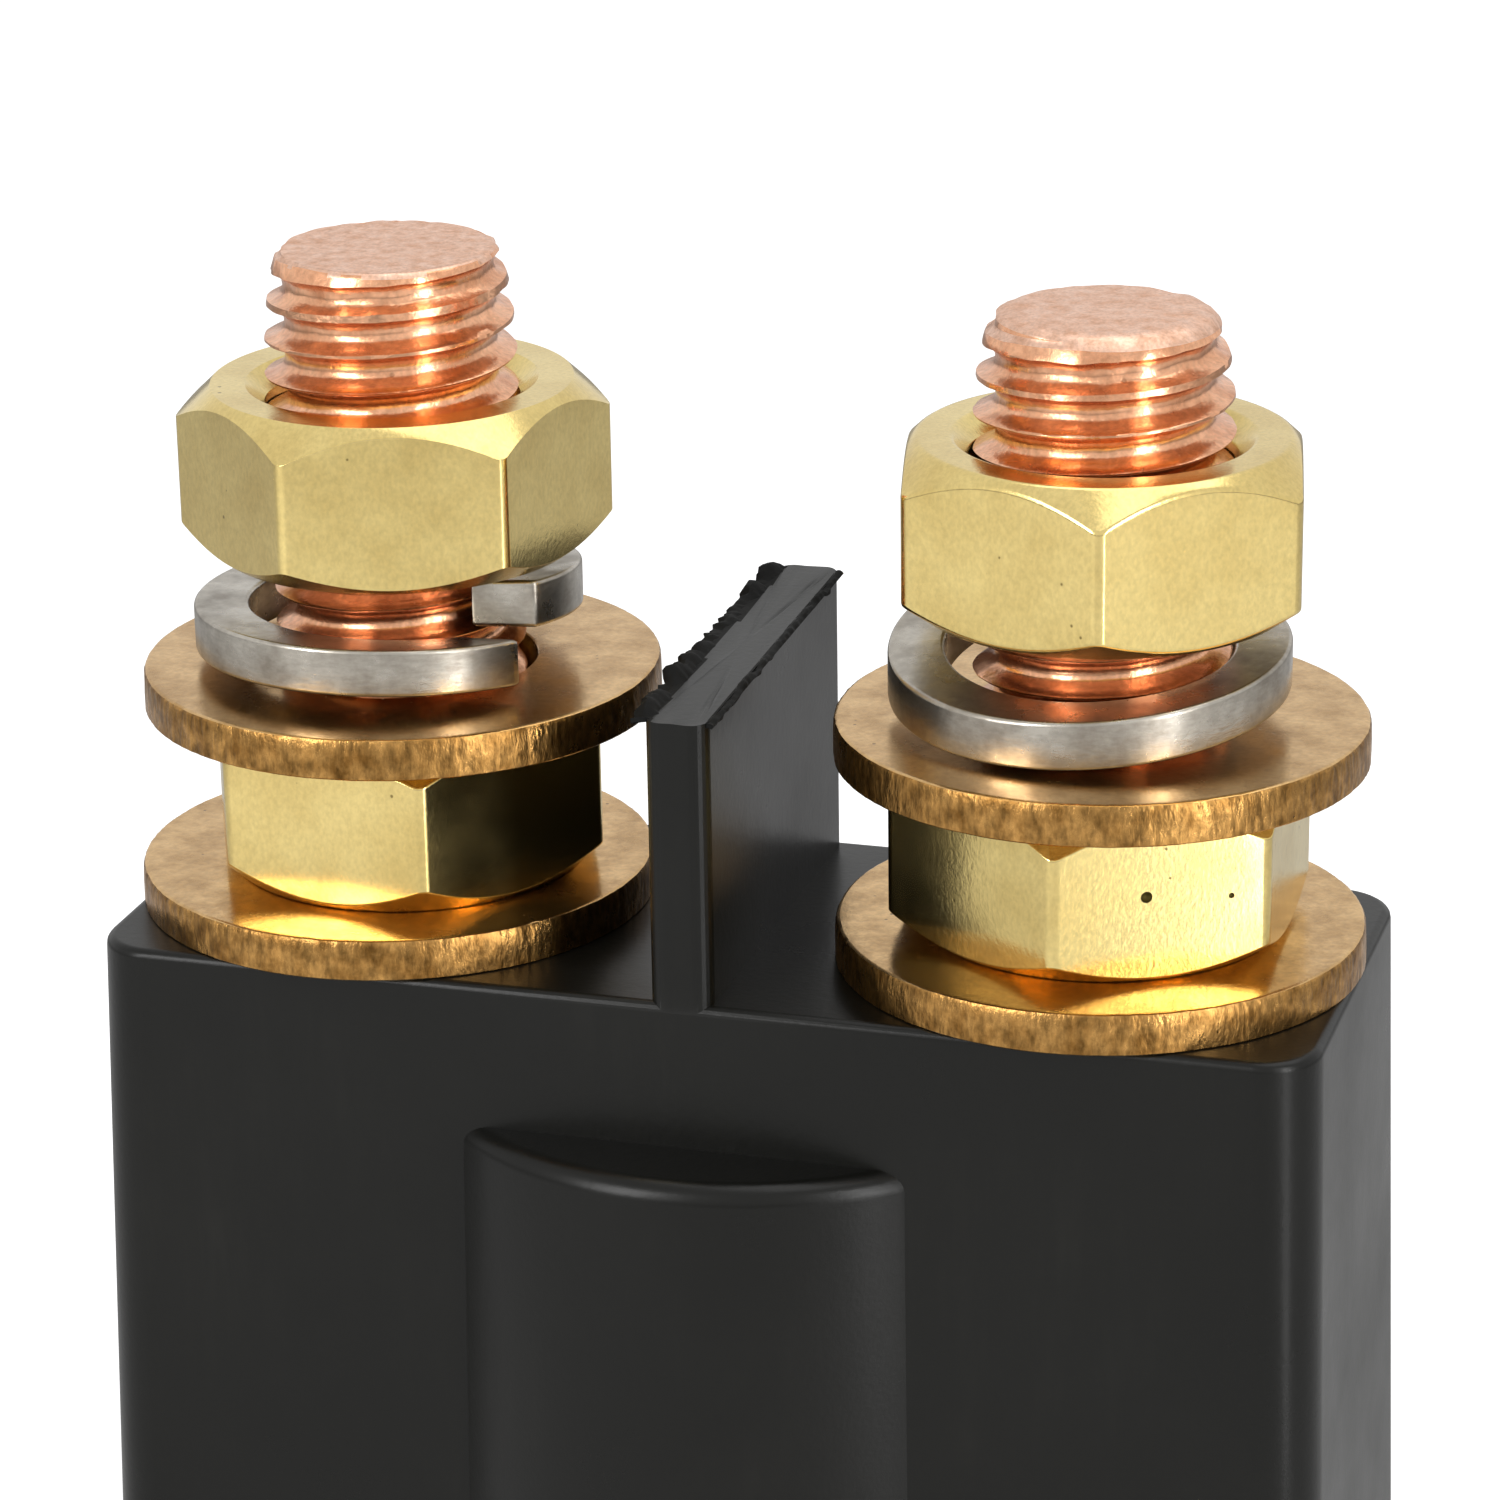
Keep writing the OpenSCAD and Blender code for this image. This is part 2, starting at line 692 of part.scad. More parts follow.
// Bobbin: a moulded spool with the coil's terminal block on its top flange
module coil_bobbin() {
    color("#202020") difference() {
        union() {
            translate([0, 0, bay_z]) cylinder(r = bobbin_out_r, h = bay_h);
            translate([0, 0, bay_z]) cylinder(r = flange_r, h = flange_t);
            translate([0, 0, pole_z - flange_t]) cylinder(r = flange_r, h = flange_t);
            terminal_block();
        }
        translate([0, 0, bay_z - overrun]) cylinder(r = bobbin_in_r, h = bay_h + 2 * overrun);
        for (side = [left, right])
            translate([side * coil_stud_x, -winding_in_r, coil_stud_z]) rotate([90, 0, 0]) {
                cylinder(
                    d = coil_stud_head_d + 2 * seat_air,
                    h = flange_r - winding_in_r + coil_stud_head_t
                );
                cylinder(
                    d = coil_stud_d + 2 * seat_air,
                    h = flange_r - winding_in_r + block_out + overrun
                );
            }
    }
}

// Terminal block, cut back to clear the tape, with a rib between the two studs
module terminal_block() {
    block_w = coil_stud_spacing + 2 * block_side;
    difference() {
        union() {
            translate([-block_w / 2, block_front_y, pole_z - block_h])
                cube([block_w, block_out + flange_r - winding_in_r, block_h]);
            translate([-rib_t / 2, block_front_y - rib_out, pole_z - block_h])
                cube([rib_t, rib_out + block_out, block_h]);
        }
        translate([0, 0, winding_z - overrun])
            cylinder(r = wrap_out_r + seat_air, h = winding_h + overrun);
    }
}

module coil_winding() {
    color("#b5651d") ring(winding_out_r, winding_in_r, winding_h, winding_z);
}

// Tape round the winding, with a hole for each lead
module coil_wrap() {
    color("#151515") difference() {
        ring(wrap_out_r, wrap_in_r, winding_h, winding_z);
        for (side = [left, right]) translate([side * coil_stud_x, 0, coil_stud_z])
            rotate([90, 0, 0]) cylinder(d = lead_d + 2 * seat_air, h = wrap_out_r + overrun);
    }
}

// Leads from the winding to the heads of the coil studs
module coil_leads() {
    color("#c0692b") for (side = [left, right])
        translate([side * coil_stud_x, lead_y, coil_stud_z]) rotate([90, 0, 0])
            cylinder(d = lead_d, h = flange_r + lead_y);
}

// One coil stud, with its head at the back of the terminal block
module coil_stud(side) {
    free_y = coil_stud_end_y + coil_stud_free;
    color("goldenrod") translate([side * coil_stud_x, 0, coil_stud_z]) rotate([90, 0, 0]) {
        translate([0, 0, flange_r]) cylinder(d = coil_stud_head_d, h = coil_stud_head_t);
        translate([0, 0, flange_r])
            cylinder(d = coil_stud_d - coil_stud_relief, h = -coil_stud_end_y - flange_r);
        translate([0, 0, -free_y]) cylinder(d = coil_stud_d, h = coil_stud_free);
    }
}

module coil_washers() {
    color("gainsboro") for (side = [left, right])
        translate([side * coil_stud_x, block_front_y, coil_stud_z]) rotate([90, 0, 0])
            ring(coil_washer_d / 2, coil_stud_d / 2 + hole_air, coil_washer_t, 0);
}

module coil_nuts() {
    color("goldenrod") for (side = [left, right])
        translate([side * coil_stud_x, coil_nut_y, coil_stud_z]) rotate([90, 0, 0])
            hex_nut(
                coil_nut_af, coil_nut_h, coil_nut_af * nut_ring_d / nut_af / 2,
                nut_foot_angle, nut_top_angle, coil_stud_d / 2 + nut_air, 0
            );
}

// A block with drafted sides between two heights, grown sideways by grow_by at each
module drafted_block(low_z, high_z, grow_by, r) {
    for_low = (top_z - low_z) * tan(draft_angle) + grow_by;
    for_high = (top_z - high_z) * tan(draft_angle) + grow_by;
    translate([0, 0, low_z])
        at_corners(cover_w / 2 + for_low - r, cover_d / 2 + for_low - r)
            cylinder(r = r, h = slice_t, $fn = corner_facets);
    translate([0, 0, high_z - slice_t])
        at_corners(cover_w / 2 + for_high - r, cover_d / 2 + for_high - r)
            cylinder(r = r, h = slice_t, $fn = corner_facets);
}

// The round boss through the cover, with a rounded edge on its ledge
module boss() {
    rotate_extrude() polygon(concat(
        [[0, cover_z], [boss_base_r, cover_z]],
        [for (a = [0:arc_step:90]) [
            boss_r - boss_edge_r + boss_edge_r * cos(a),
            ledge_z - boss_edge_r + boss_edge_r * sin(a)
        ]],
        [[0, ledge_z]]
    ));
}

// The barrier between the studs, with rounded upright edges
module barrier() {
    translate([0, 0, roof_z]) linear_extrude(roof_t + barrier_h) {
        square([barrier_t, cover_d - 2 * barrier_edge_r], center = true);
        square([barrier_t - 2 * barrier_edge_r, cover_d], center = true);
        for (side = [left, right], end = [left, right])
            translate([
                side * (barrier_t / 2 - barrier_edge_r), end * (cover_d / 2 - barrier_edge_r)
            ])
                circle(r = barrier_edge_r);
    }
}

// Contact cover: the moulded chamber, open at its base
module contact_cover() {
    inner_r = max(corner_r - cover_wall, top_edge);
    color("#2b2b2a") difference() {
        union() {
            hull() {
                drafted_block(cover_z, top_z - top_edge, 0, corner_r);
                drafted_block(top_z - top_edge, top_z, -top_edge, corner_r - top_edge);
            }
            boss();
            barrier();
        }
        difference() {
            union() {
                hull() drafted_block(cover_z - overrun, roof_z, -cover_wall, inner_r);
                translate([0, 0, cover_z - overrun]) cylinder(
                    r1 = boss_base_r - cover_wall, r2 = boss_r - cover_wall,
                    h = ledge_z - cover_wall - cover_z + overrun
                );
            }
            at_corners(column_x, column_y) translate([0, 0, cover_z])
                cylinder(d = column_d, h = column_h);
        }
        at_corners(column_x, column_y) translate([0, 0, cover_z - overrun])
            cylinder(d = cover_screw_d + 2 * seat_air, h = cover_screw_bite + 2 * overrun);
        for (side = [left, right]) translate([side * stud_x, 0, roof_z - overrun])
            cylinder(r = stud_d / 2 + hole_air, h = roof_t + 2 * overrun);
    }
}

// Four screws up through the pole plate into the cover's columns
module cover_screws() {
    color("gainsboro") at_corners(column_x, column_y) {
        translate([0, 0, pole_z - cover_screw_head_h])
            cylinder(d = cover_screw_head_d, h = cover_screw_head_h);
        translate([0, 0, pole_z - cover_screw_head_h / 2]) cylinder(
            d = cover_screw_d,
            h = cover_screw_head_h / 2 + pole_t + plate_t + cover_screw_bite
        );
    }
}

// Thread grooves on the profile of a shaft of radius r between two heights
function thread_profile(r, low_z, high_z) = [
    for (z = [low_z + thread_pitch / 2:thread_pitch:high_z - thread_pitch / 2]) each [
        [r, z - thread_groove / 2], [r - thread_depth, z], [r, z + thread_groove / 2]
    ]
];

// One terminal stud: a threaded copper bar with a square head inside the cover
module terminal_stud(side, rise) {
    end_z = top_z + rise;
    stack_z = upper_nut_z(side) + nut_h;
    shank_r = (stud_d - stud_relief) / 2;
    color("#c9714a") translate([side * stud_x, 0, 0]) {
        translate([-stud_head_w / 2, -stud_head_w / 2, head_z])
            cube([stud_head_w, stud_head_w, stud_head_t]);
        rotate_extrude() polygon(concat(
            [[0, head_z + stud_head_t / 2], [shank_r, head_z + stud_head_t / 2]],
            thread_profile(shank_r, top_z, stack_z),
            [[shank_r, stack_z], [stud_d / 2, stack_z]],
            thread_profile(stud_d / 2, stack_z, end_z - stud_bevel),
            [[stud_d / 2, end_z - stud_bevel], [stud_d / 2 - stud_bevel, end_z], [0, end_z]]
        ));
    }
}

// One silver tip, brazed to the underside of a stud's head
module fixed_tip(side) {
    color("whitesmoke") translate([side * stud_x, 0, fixed_tip_z])
        cylinder(d = tip_d, h = tip_t);
}

// Plunger: the steel slug that the coil lifts
module plunger() {
    color("lightgray") difference() {
        translate([0, 0, plunger_z]) cylinder(d = plunger_d, h = plunger_h);
        translate([0, 0, rod_z]) cylinder(r = rod_d / 2 + nut_air, h = plunger_h);
        translate([0, 0, return_spring_z]) cylinder(d = pocket_d, h = plunger_h);
    }
}

// Push rod: screwed into the plunger, with a thinner neck that carries the bridge
module push_rod() {
    color("silver") difference() {
        union() {
            translate([0, 0, rod_z]) cylinder(d = rod_d, h = seat_z - rod_z);
            translate([0, 0, rod_z]) cylinder(d = neck_d, h = rod_top_z - rod_z);
        }
        ring(neck_d, neck_d / 2 - clip_groove, clip_t, clip_z);
    }
}

// Insulating bush: the contact spring's seat and the hub that the bridge slides on
module spring_seat() {
    color("ivory") difference() {
        union() {
            translate([0, 0, seat_z]) cylinder(d = seat_d, h = seat_t);
            translate([0, 0, seat_z]) cylinder(d = hub_d, h = bridge_top_z - seat_z);
        }
        translate([0, 0, seat_z - overrun])
            cylinder(r = neck_d / 2 + nut_air, h = bridge_top_z - seat_z + 2 * overrun);
    }
}

module cap_washer() {
    color("ivory") ring(cap_d / 2, neck_d / 2 + nut_air, cap_t, bridge_top_z);
}

// Clip in the neck's groove, open on one side
module rod_clip() {
    color("dimgray") difference() {
        ring(clip_d / 2, neck_d / 2 - clip_groove + nut_air, clip_t, clip_z);
        translate([0, -clip_mouth / 2, clip_z - overrun])
            cube([clip_d, clip_mouth, clip_t + 2 * overrun]);
    }
}

// Return spring, in the pockets of the plunger and the fixed core
module return_spring() {
    color("lightsteelblue")
        coil_spring(return_d, return_wire, return_curls, return_spring_z, return_spring_h);
}

// Contact spring, between the bush's flange and the bridge bar
module contact_spring() {
    color("lightsteelblue") coil_spring(
        contact_spring_d, contact_wire, contact_curls, seat_top_z, contact_spring_h
    );
}

// Copper bar that joins the two studs when the plunger is up
module contact_bridge() {
    bridge_w = stud_spacing + 2 * bridge_end;
    color("#c9714a") difference() {
        translate([-bridge_w / 2, -bridge_d / 2, bridge_z]) cube([bridge_w, bridge_d, bridge_t]);
        translate([0, 0, bridge_z - overrun])
            cylinder(r = hub_d / 2 + guide_air, h = bridge_t + 2 * overrun);
    }
}

module moving_tips() {
    color("whitesmoke") for (side = [left, right])
        translate([side * stud_x, 0, bridge_top_z]) cylinder(d = tip_d, h = tip_t);
}

mounting_bracket();
bracket_screws();
magnet_frame();
pole_plate();
insulating_plate();
fixed_core();
guide_tube();
plunger_stop();
coil_bobbin();
coil_winding();
coil_wrap();
coil_leads();
coil_stud(left);  // coil_stud_left
coil_stud(right);  // coil_stud_right
coil_washers();
coil_nuts();
contact_cover();
cover_screws();
terminal_stud(left, stud_rise_left);  // stud_left
terminal_stud(right, stud_rise_right);  // stud_right
fixed_tip(left);  // fixed_tip_left
fixed_tip(right);  // fixed_tip_right
lower_washer(left, washer_slide);  // lower_washer_left
lower_washer(right, 0);  // lower_washer_right
lower_nut(left, lower_turn_left);  // lower_nut_left
lower_nut(right, lower_turn_right);  // lower_nut_right
upper_washer(left);  // upper_washer_left
upper_washer(right);  // upper_washer_right
spring_washer(left, split_turn_left, lean_left, lean_turn_left, spring_air_left);  // spring_washer_left
spring_washer(right, split_turn_right, lean_right, lean_turn_right, spring_air_right);  // spring_washer_right
upper_nut(left, upper_turn_left);  // upper_nut_left
upper_nut(right, upper_turn_right);  // upper_nut_right
plunger();
push_rod();
spring_seat();
cap_washer();
rod_clip();
return_spring();
contact_spring();
contact_bridge();
moving_tips();
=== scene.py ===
# Battery isolator relay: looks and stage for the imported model.
# Everything is in metres, in the model's own frame: +Z is up, the studs stand in a row along X
# and the coil's terminals are at -Y.
import math

import bpy
from mathutils import Matrix, Vector, noise


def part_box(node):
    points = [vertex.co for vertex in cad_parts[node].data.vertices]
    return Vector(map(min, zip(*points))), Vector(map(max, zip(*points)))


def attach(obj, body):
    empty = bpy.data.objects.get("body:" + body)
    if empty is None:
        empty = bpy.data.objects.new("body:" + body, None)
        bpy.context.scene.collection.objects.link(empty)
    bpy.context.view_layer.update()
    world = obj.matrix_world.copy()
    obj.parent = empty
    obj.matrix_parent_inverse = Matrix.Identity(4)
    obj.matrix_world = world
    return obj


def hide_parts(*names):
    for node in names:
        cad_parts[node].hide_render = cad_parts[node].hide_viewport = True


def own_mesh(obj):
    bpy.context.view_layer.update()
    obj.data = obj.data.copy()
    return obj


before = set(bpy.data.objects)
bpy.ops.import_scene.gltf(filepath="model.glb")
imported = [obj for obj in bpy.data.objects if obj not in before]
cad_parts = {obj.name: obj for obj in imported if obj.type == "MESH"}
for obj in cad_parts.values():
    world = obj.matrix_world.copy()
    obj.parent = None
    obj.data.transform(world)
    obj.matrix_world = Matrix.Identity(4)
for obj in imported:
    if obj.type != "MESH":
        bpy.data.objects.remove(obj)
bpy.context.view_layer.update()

bl_info = {
    "name": "Battery Isolator Relay",
    "version": (1, 0, 0),
    "blender": (4, 5, 0),
    "location": "View3D > Sidebar > Relay",
    "description": "Models and finishes the pieces of a battery isolator relay and sets its stage",
    "category": "Object",
}

MM = 0.001
AXIS = Vector((0, 0, 1))
SIDES = ("left", "right")
WELD = 0.002 * MM  # points of a piece that lie closer than this are made one
FINE_WELD = 0.0005 * MM  # the same for the outline of a turned or wound piece


def linear(value):
    """Linear red, green and blue of an sRGB hex colour."""
    shares = [(value >> shift & 255) / 255 for shift in (16, 8, 0)]
    return [c / 12.92 if c <= 0.04045 else ((c + 0.055) / 1.055) ** 2.4 for c in shares]


def length(name, description, default):
    """A size in metres that a user can change."""
    return bpy.props.FloatProperty(
        name=name, description=description, default=default, min=0, precision=5, unit="LENGTH"
    )


def angle(name, description, default):
    """An angle, given in degrees, that a user can change."""
    return bpy.props.FloatProperty(
        name=name, description=description, default=math.radians(default), unit="ROTATION"
    )


def power(name, description, default):
    """The power of a lamp in watts that a user can change."""
    return bpy.props.FloatProperty(
        name=name, description=description, default=default, min=0, unit="POWER"
    )


def tint(name, description, default):
    """A colour, given as sRGB hex, that a user can change."""
    return bpy.props.FloatVectorProperty(
        name=name, description=description, default=linear(default), min=0, max=1, size=3,
        subtype="COLOR",
    )


class RELAY_PG_hardware(bpy.types.PropertyGroup):
    """Sizes of the nuts, washers and studs"""

    nut_across: length("Nut width", "Width of a terminal nut across its flats", 18 * MM)
    nut_ring: length("Nut ring", "Diameter of the flat ring on a nut's end", 17.2 * MM)
    nut_bore: length("Nut bore", "Radius of a terminal nut's hole", 6.05 * MM)
    nut_sink: length("Nut countersink", "Width of the bevel at each end of a nut's hole", 0.9 * MM)
    nut_edge: length("Nut edge", "Rounding of a nut's edges", 0.38 * MM)
    nut_top: angle("Nut top bevel", "Slope of the bevelled corners on a nut's upper end", 43)
    nut_foot: angle("Nut foot bevel", "Slope of the bevelled corners on a nut's lower end", 36)
    lower_turn_left: angle("Lower left turn", "Turn of the left lower nut", 53.9)
    lower_turn_right: angle("Lower right turn", "Turn of the right lower nut", 30.6)
    upper_turn_left: angle("Upper left turn", "Turn of the left upper nut", 19.6)
    upper_turn_right: angle("Upper right turn", "Turn of the right upper nut", 41.6)
    washer_hole: length("Washer hole", "Diameter of a flat washer's hole", 13 * MM)
    washer_edge: length("Washer edge", "Rounding of a flat washer's upper edge", 0.22 * MM)
    spring_bar: length("Spring washer bar", "Radial width of a spring washer's bar", 2.65 * MM)
    spring_bar_height: length("Bar height", "Thickness of a spring washer's bar", 2.3 * MM)
    spring_rise: length("Rise", "Rise of a spring washer from one end to the other", 2.6 * MM)
    spring_split: length("Split", "Width of a spring washer's split", 1 * MM)
    spring_edge: length("Bar edge", "Rounding of a spring washer's bar", 0.22 * MM)
    split_skew: angle("Split skew", "Angle between the outer and inner edge of a cut end", 13)
    split_left: angle("Left split", "Direction of the left spring washer's split", -25)
    split_right: angle("Right split", "Direction of the right spring washer's split", 130)
    lean_left: angle("Left lean", "How far the left spring washer leans", 4.3)
    lean_right: angle("Right lean", "How far the right spring washer leans", 7.8)
    lean_turn_left: angle("Left high side", "Direction of the left one's raised side", -59)
    lean_turn_right: angle("Right high side", "Direction of the right one's raised side", 53)
    pitch: length("Pitch", "Pitch of a terminal stud's thread", 1.75 * MM)
    thread_depth: length("Thread depth", "Depth of a terminal stud's thread", 1.02 * MM)
    stud_radius: length("Stud radius", "Radius over a terminal stud's thread", 5.98 * MM)
    stud_end: length("Stud end", "Radius of a terminal stud's rim above its thread", 5.25 * MM)
    stud_fade: length("Fade", "Length over which a thread grows to its full height", 4.6 * MM)
    end_flat_left: length("Left end", "Radius of the flat on the left stud's end", 4.95 * MM)
    end_flat_right: length("Right end", "Radius of the flat on the right stud's end", 4.2 * MM)
    end_drop_left: length("Left end bevel", "Height of the bevel round the left end", 0.3 * MM)
    end_drop_right: length("Right end bevel", "Height of the bevel round the right end", 0.6 * MM)
    coil_pitch: length("Coil stud pitch", "Pitch of a coil stud's thread", 0.7 * MM)
    coil_stud_radius: length("Coil stud radius", "Radius over a coil stud's thread", 1.98 * MM)


class RELAY_PG_body(bpy.types.PropertyGroup):
    """Sizes of the cover, the bracket and the coil"""

    draft: angle("Draft", "Draft of the cover's outer faces", 1.35)
    top_width: length("Top width", "Width of the cover at its top face", 59.1 * MM)
    top_depth: length("Top depth", "Depth of the cover at its top face", 22.6 * MM)
    top_level: length("Top level", "Height of the cover's top face", 93 * MM)
    corner: length("Corner", "Radius of the cover's upright corners", 2.8 * MM)
    top_edge: length("Top edge", "Rounding round the cover's top face", 0.45 * MM)
    wall: length("Wall", "Thickness of the cover's walls", 2.5 * MM)
    roof: length("Roof", "Thickness of the cover's roof", 5 * MM)
    boss_radius: length("Boss radius", "Radius of the round boss at its ledge", 15.75 * MM)
    boss_drop: length("Boss drop", "Distance of the boss's ledge below the top face", 7.1 * MM)
    boss_edge: length("Boss edge", "Rounding of the boss's ledge", 1 * MM)
    barrier: length("Barrier", "Thickness of the barrier between the studs", 3 * MM)
    column: length("Column", "Diameter of the columns that take the cover's screws", 7 * MM)
    column_height: length("Column height", "Height of those columns", 12 * MM)
    screw: length("Screw", "Diameter of a cover screw", 3.5 * MM)
    plate_edge: length("Plate edge", "Rounding of the steel plates' edges", 0.3 * MM)


class RELAY_PG_colours(bpy.types.PropertyGroup):
    """Colours of the finishes"""

    brass: tint("Brass", "Clean brass of the nuts", 0xEBD38C)
    brass_dull: tint("Dull brass", "Brass where it is handled or stained", 0xC9AC66)
    bronze: tint("Bronze", "Clean bronze of the flat washers", 0xDCB57C)
    bronze_dull: tint("Dull bronze", "Bronze under its brown film", 0xAD8650)
    bronze_rim: tint("Bronze rim", "Torn bronze on the washers' rims", 0xCB9A58)
    bronze_rim_dull: tint("Dull rim", "Brown in the rims' hollows", 0x8A6230)
    copper: tint("Copper", "Clean copper of the studs' threads", 0xF8BC94)
    copper_dull: tint("Dull copper", "Copper under its film", 0xCB8A63)
    copper_cut: tint("Cut copper", "Copper on the studs' sawn ends", 0xEDC5AD)
    copper_cut_dull: tint("Dull cut copper", "Brown specks on the studs' sawn ends", 0xB98A6A)
    steel: tint("Steel", "Bare spring steel", 0xC0BAAF)
    steel_dull: tint("Dull steel", "Spring steel in its hollows", 0x867E73)
    zinc: tint("Zinc", "Bright zinc on steel", 0xC8CBCD)
    zinc_dull: tint("Dull zinc", "Zinc where it is clouded", 0x9EA3A6)
    plastic: tint("Cover", "Black moulding compound", 0x0C0C09)
    plastic_pale: tint("Cover scuff", "The moulding where it is scuffed", 0x2A2924)
    nylon: tint("Nylon", "Black nylon of the bobbin", 0x202022)
    phenolic: tint("Phenolic", "Brown laminated board", 0x6B4226)
    silver: tint("Silver", "Silver of the contact tips", 0xE4E2DC)
    enamel: tint("Enamel", "Enamelled copper wire", 0xA4562A)


class RELAY_PG_stage(bpy.types.PropertyGroup):
    """Camera and light"""

    azimuth: angle("Azimuth", "Turn of the camera to the right of the front", 17.02)
    elevation: angle("Elevation", "Height of the camera above the horizon", 19.79)
    roll: angle("Roll", "Turn of the camera about its own line of sight", -0.925)
    distance: length("Distance", "Distance of the camera from the cover's top face", 244.53 * MM)
    shift_right: length("Aim right", "How far right of the axis the camera aims", 0.157 * MM)
    shift_up: length("Aim up", "How far above the top face the camera aims", 8.09 * MM)
    lens: bpy.props.FloatProperty(
        name="Lens", description="Focal length on a 36 mm frame", default=122.04, unit="CAMERA"
    )
    floor: tint("Floor", "Colour of the floor", 0xF4F4F4)
    key: power("Key light", "Power of the tall lamp at the front left", 2.1)
    fill: power("Fill light", "Power of the tall lamp at the right", 1.5)
    strip: power("Strip light", "Power of the narrow lamp close by", 0.032)
    top: power("Top light", "Power of the overhead lamp", 0.9)


# Modelling helpers


def deselect():
    """Leaves edit mode and deselects everything."""
    if bpy.context.object and bpy.context.object.mode != "OBJECT":
        bpy.ops.object.mode_set(mode="OBJECT")
    bpy.ops.object.select_all(action="DESELECT")


def only(piece):
    """Makes a piece the active and only selected one."""
    deselect()
    piece.select_set(True)
    bpy.context.view_layer.objects.active = piece
    return piece


def named(name):
    """Names the piece that was just added."""
    piece = bpy.context.object
    piece.name = piece.data.name = name
    return piece


def edit(piece, kind, test):
    """Opens a piece in edit mode with the points, edges or faces selected that pass a test."""
    only(piece)
    mesh = piece.data
    for group in (mesh.vertices, mesh.edges, mesh.polygons):
        group.foreach_set("select", [False] * len(group))
    bpy.context.tool_settings.mesh_select_mode = (kind == "VERT", kind == "EDGE", kind == "FACE")
    if kind == "FACE":
        for face in mesh.polygons:
            face.select = bool(test(face.center, face.normal))
    elif kind == "EDGE":
        for edge in mesh.edges:
            a, b = (mesh.vertices[i].co for i in edge.vertices)
            edge.select = bool(test(a, b))
    else:
        for point in mesh.vertices:
            point.select = bool(test(point.co))
    bpy.ops.object.mode_set(mode="EDIT")


def close_edit():
    """Goes back to object mode with what was edited."""
    bpy.ops.object.mode_set(mode="OBJECT")


def clean(piece, distance=WELD):
    """Merges doubled points and turns every face outwards."""
    edit(piece, "VERT", lambda co: True)
    bpy.ops.mesh.remove_doubles(threshold=distance)
    bpy.ops.mesh.select_all(action="SELECT")
    bpy.ops.mesh.normals_make_consistent(inside=False)
    close_edit()
    return piece


def modify(piece, kind, **settings):
    """Adds a modifier to a piece and applies it."""
    only(piece)
    modifier = piece.modifiers.new(kind.title(), kind)
    for key, value in settings.items():
        setattr(modifier, key, value)
    bpy.ops.object.modifier_apply(modifier=modifier.name)
    return piece


def combine(piece, tool, operation):
    """Joins, cuts or intersects a piece with a tool, and removes the tool."""
    modify(piece, "BOOLEAN", object=tool, operation=operation, solver="EXACT")
    bpy.data.objects.remove(tool)
    return piece


def soften(piece, width, segments=2, limit=30):
    """Rounds the edges that are sharper than an angle in degrees."""
    return modify(
        piece, "BEVEL", width=width, segments=segments, limit_method="ANGLE",
        angle_limit=math.radians(limit), use_clamp_overlap=True, miter_outer="MITER_ARC",
    )


def draw(name, centre, outline, closed):
    """Draws a line of radius and height pairs from a plane that is merged to one point."""
    deselect()
    bpy.ops.mesh.primitive_plane_add(size=MM, location=centre)
    piece = named(name)
    edit(piece, "VERT", lambda co: True)
    bpy.ops.mesh.merge(type="CENTER")
    bpy.ops.transform.translate(value=(outline[0][0], 0, outline[0][1]))
    points = outline[1:] + (outline[:1] if closed else [])
    here = outline[0]
    for point in points:
        step = (point[0] - here[0], 0, point[1] - here[1])
        bpy.ops.mesh.extrude_region_move(TRANSFORM_OT_translate={"value": step})
        here = point
    close_edit()
    return piece


def turned(name, centre, outline, closed=True, steps=96):
    """A piece turned on a lathe: an outline of radius and height pairs, spun about +Z."""
    piece = draw(name, centre, outline, closed)
    edit(piece, "VERT", lambda co: True)
    bpy.ops.mesh.remove_doubles(threshold=FINE_WELD)
    bpy.ops.mesh.select_all(action="SELECT")
    bpy.ops.mesh.spin(steps=steps, angle=2 * math.pi, center=centre, axis=AXIS)
    close_edit()
    return clean(piece)


def wound(name, centre, outline, closed, rise, turns, steps):
    """A piece that climbs as it turns: an outline carried up a helix about +Z."""
    piece = draw(name, centre, outline, closed)
    edit(piece, "VERT", lambda co: True)
    bpy.ops.mesh.remove_doubles(threshold=FINE_WELD)
    close_edit()
    whole = max(1, int(turns))
    modify(
        piece, "SCREW", angle=2 * math.pi * turns / whole, screw_offset=rise * turns / whole,
        iterations=whole, steps=steps, render_steps=steps, use_merge_vertices=True,
        merge_threshold=WELD,
    )
    return piece


def roughen(piece, grain, depth, seed, test):
    """Moves the points that pass a test along their normals, in bumps as large as the grain."""
    mesh = piece.data
    shift = Vector((seed, seed * 0.37, seed * 1.71))
    moves = [
        point.normal * depth * noise.noise(point.co / grain + shift) if test(point.co) else None
        for point in mesh.vertices
    ]
    for point, move in zip(mesh.vertices, moves):
        if move is not None:
            point.co += move
    mesh.update()


def copy_of(piece, name, move=(0, 0, 0), turn=0.0, about=(0, 0, 0)):
    """A copy with its own mesh, turned about +Z and then moved."""
    only(piece)
    bpy.ops.object.duplicate(linked=False)
    made = named(name)
    place = Matrix.Translation(move) @ Matrix.Translation(about) @ Matrix.Rotation(turn, 4, "Z")
    made.data.transform(place @ Matrix.Translation(-Vector(about)) @ made.matrix_world)
    made.matrix_world = Matrix.Identity(4)
    return made


def joined(pieces, name):
    """Several copies made one piece."""
    only(pieces[0])
    for piece in pieces:
        piece.select_set(True)
    bpy.ops.object.join()
    return named(name)


def settle(piece):
    """Puts a piece's place into its mesh, so that its origin is the model's."""
    only(piece)
    bpy.ops.object.transform_apply(location=True, rotation=True, scale=True)
    return piece


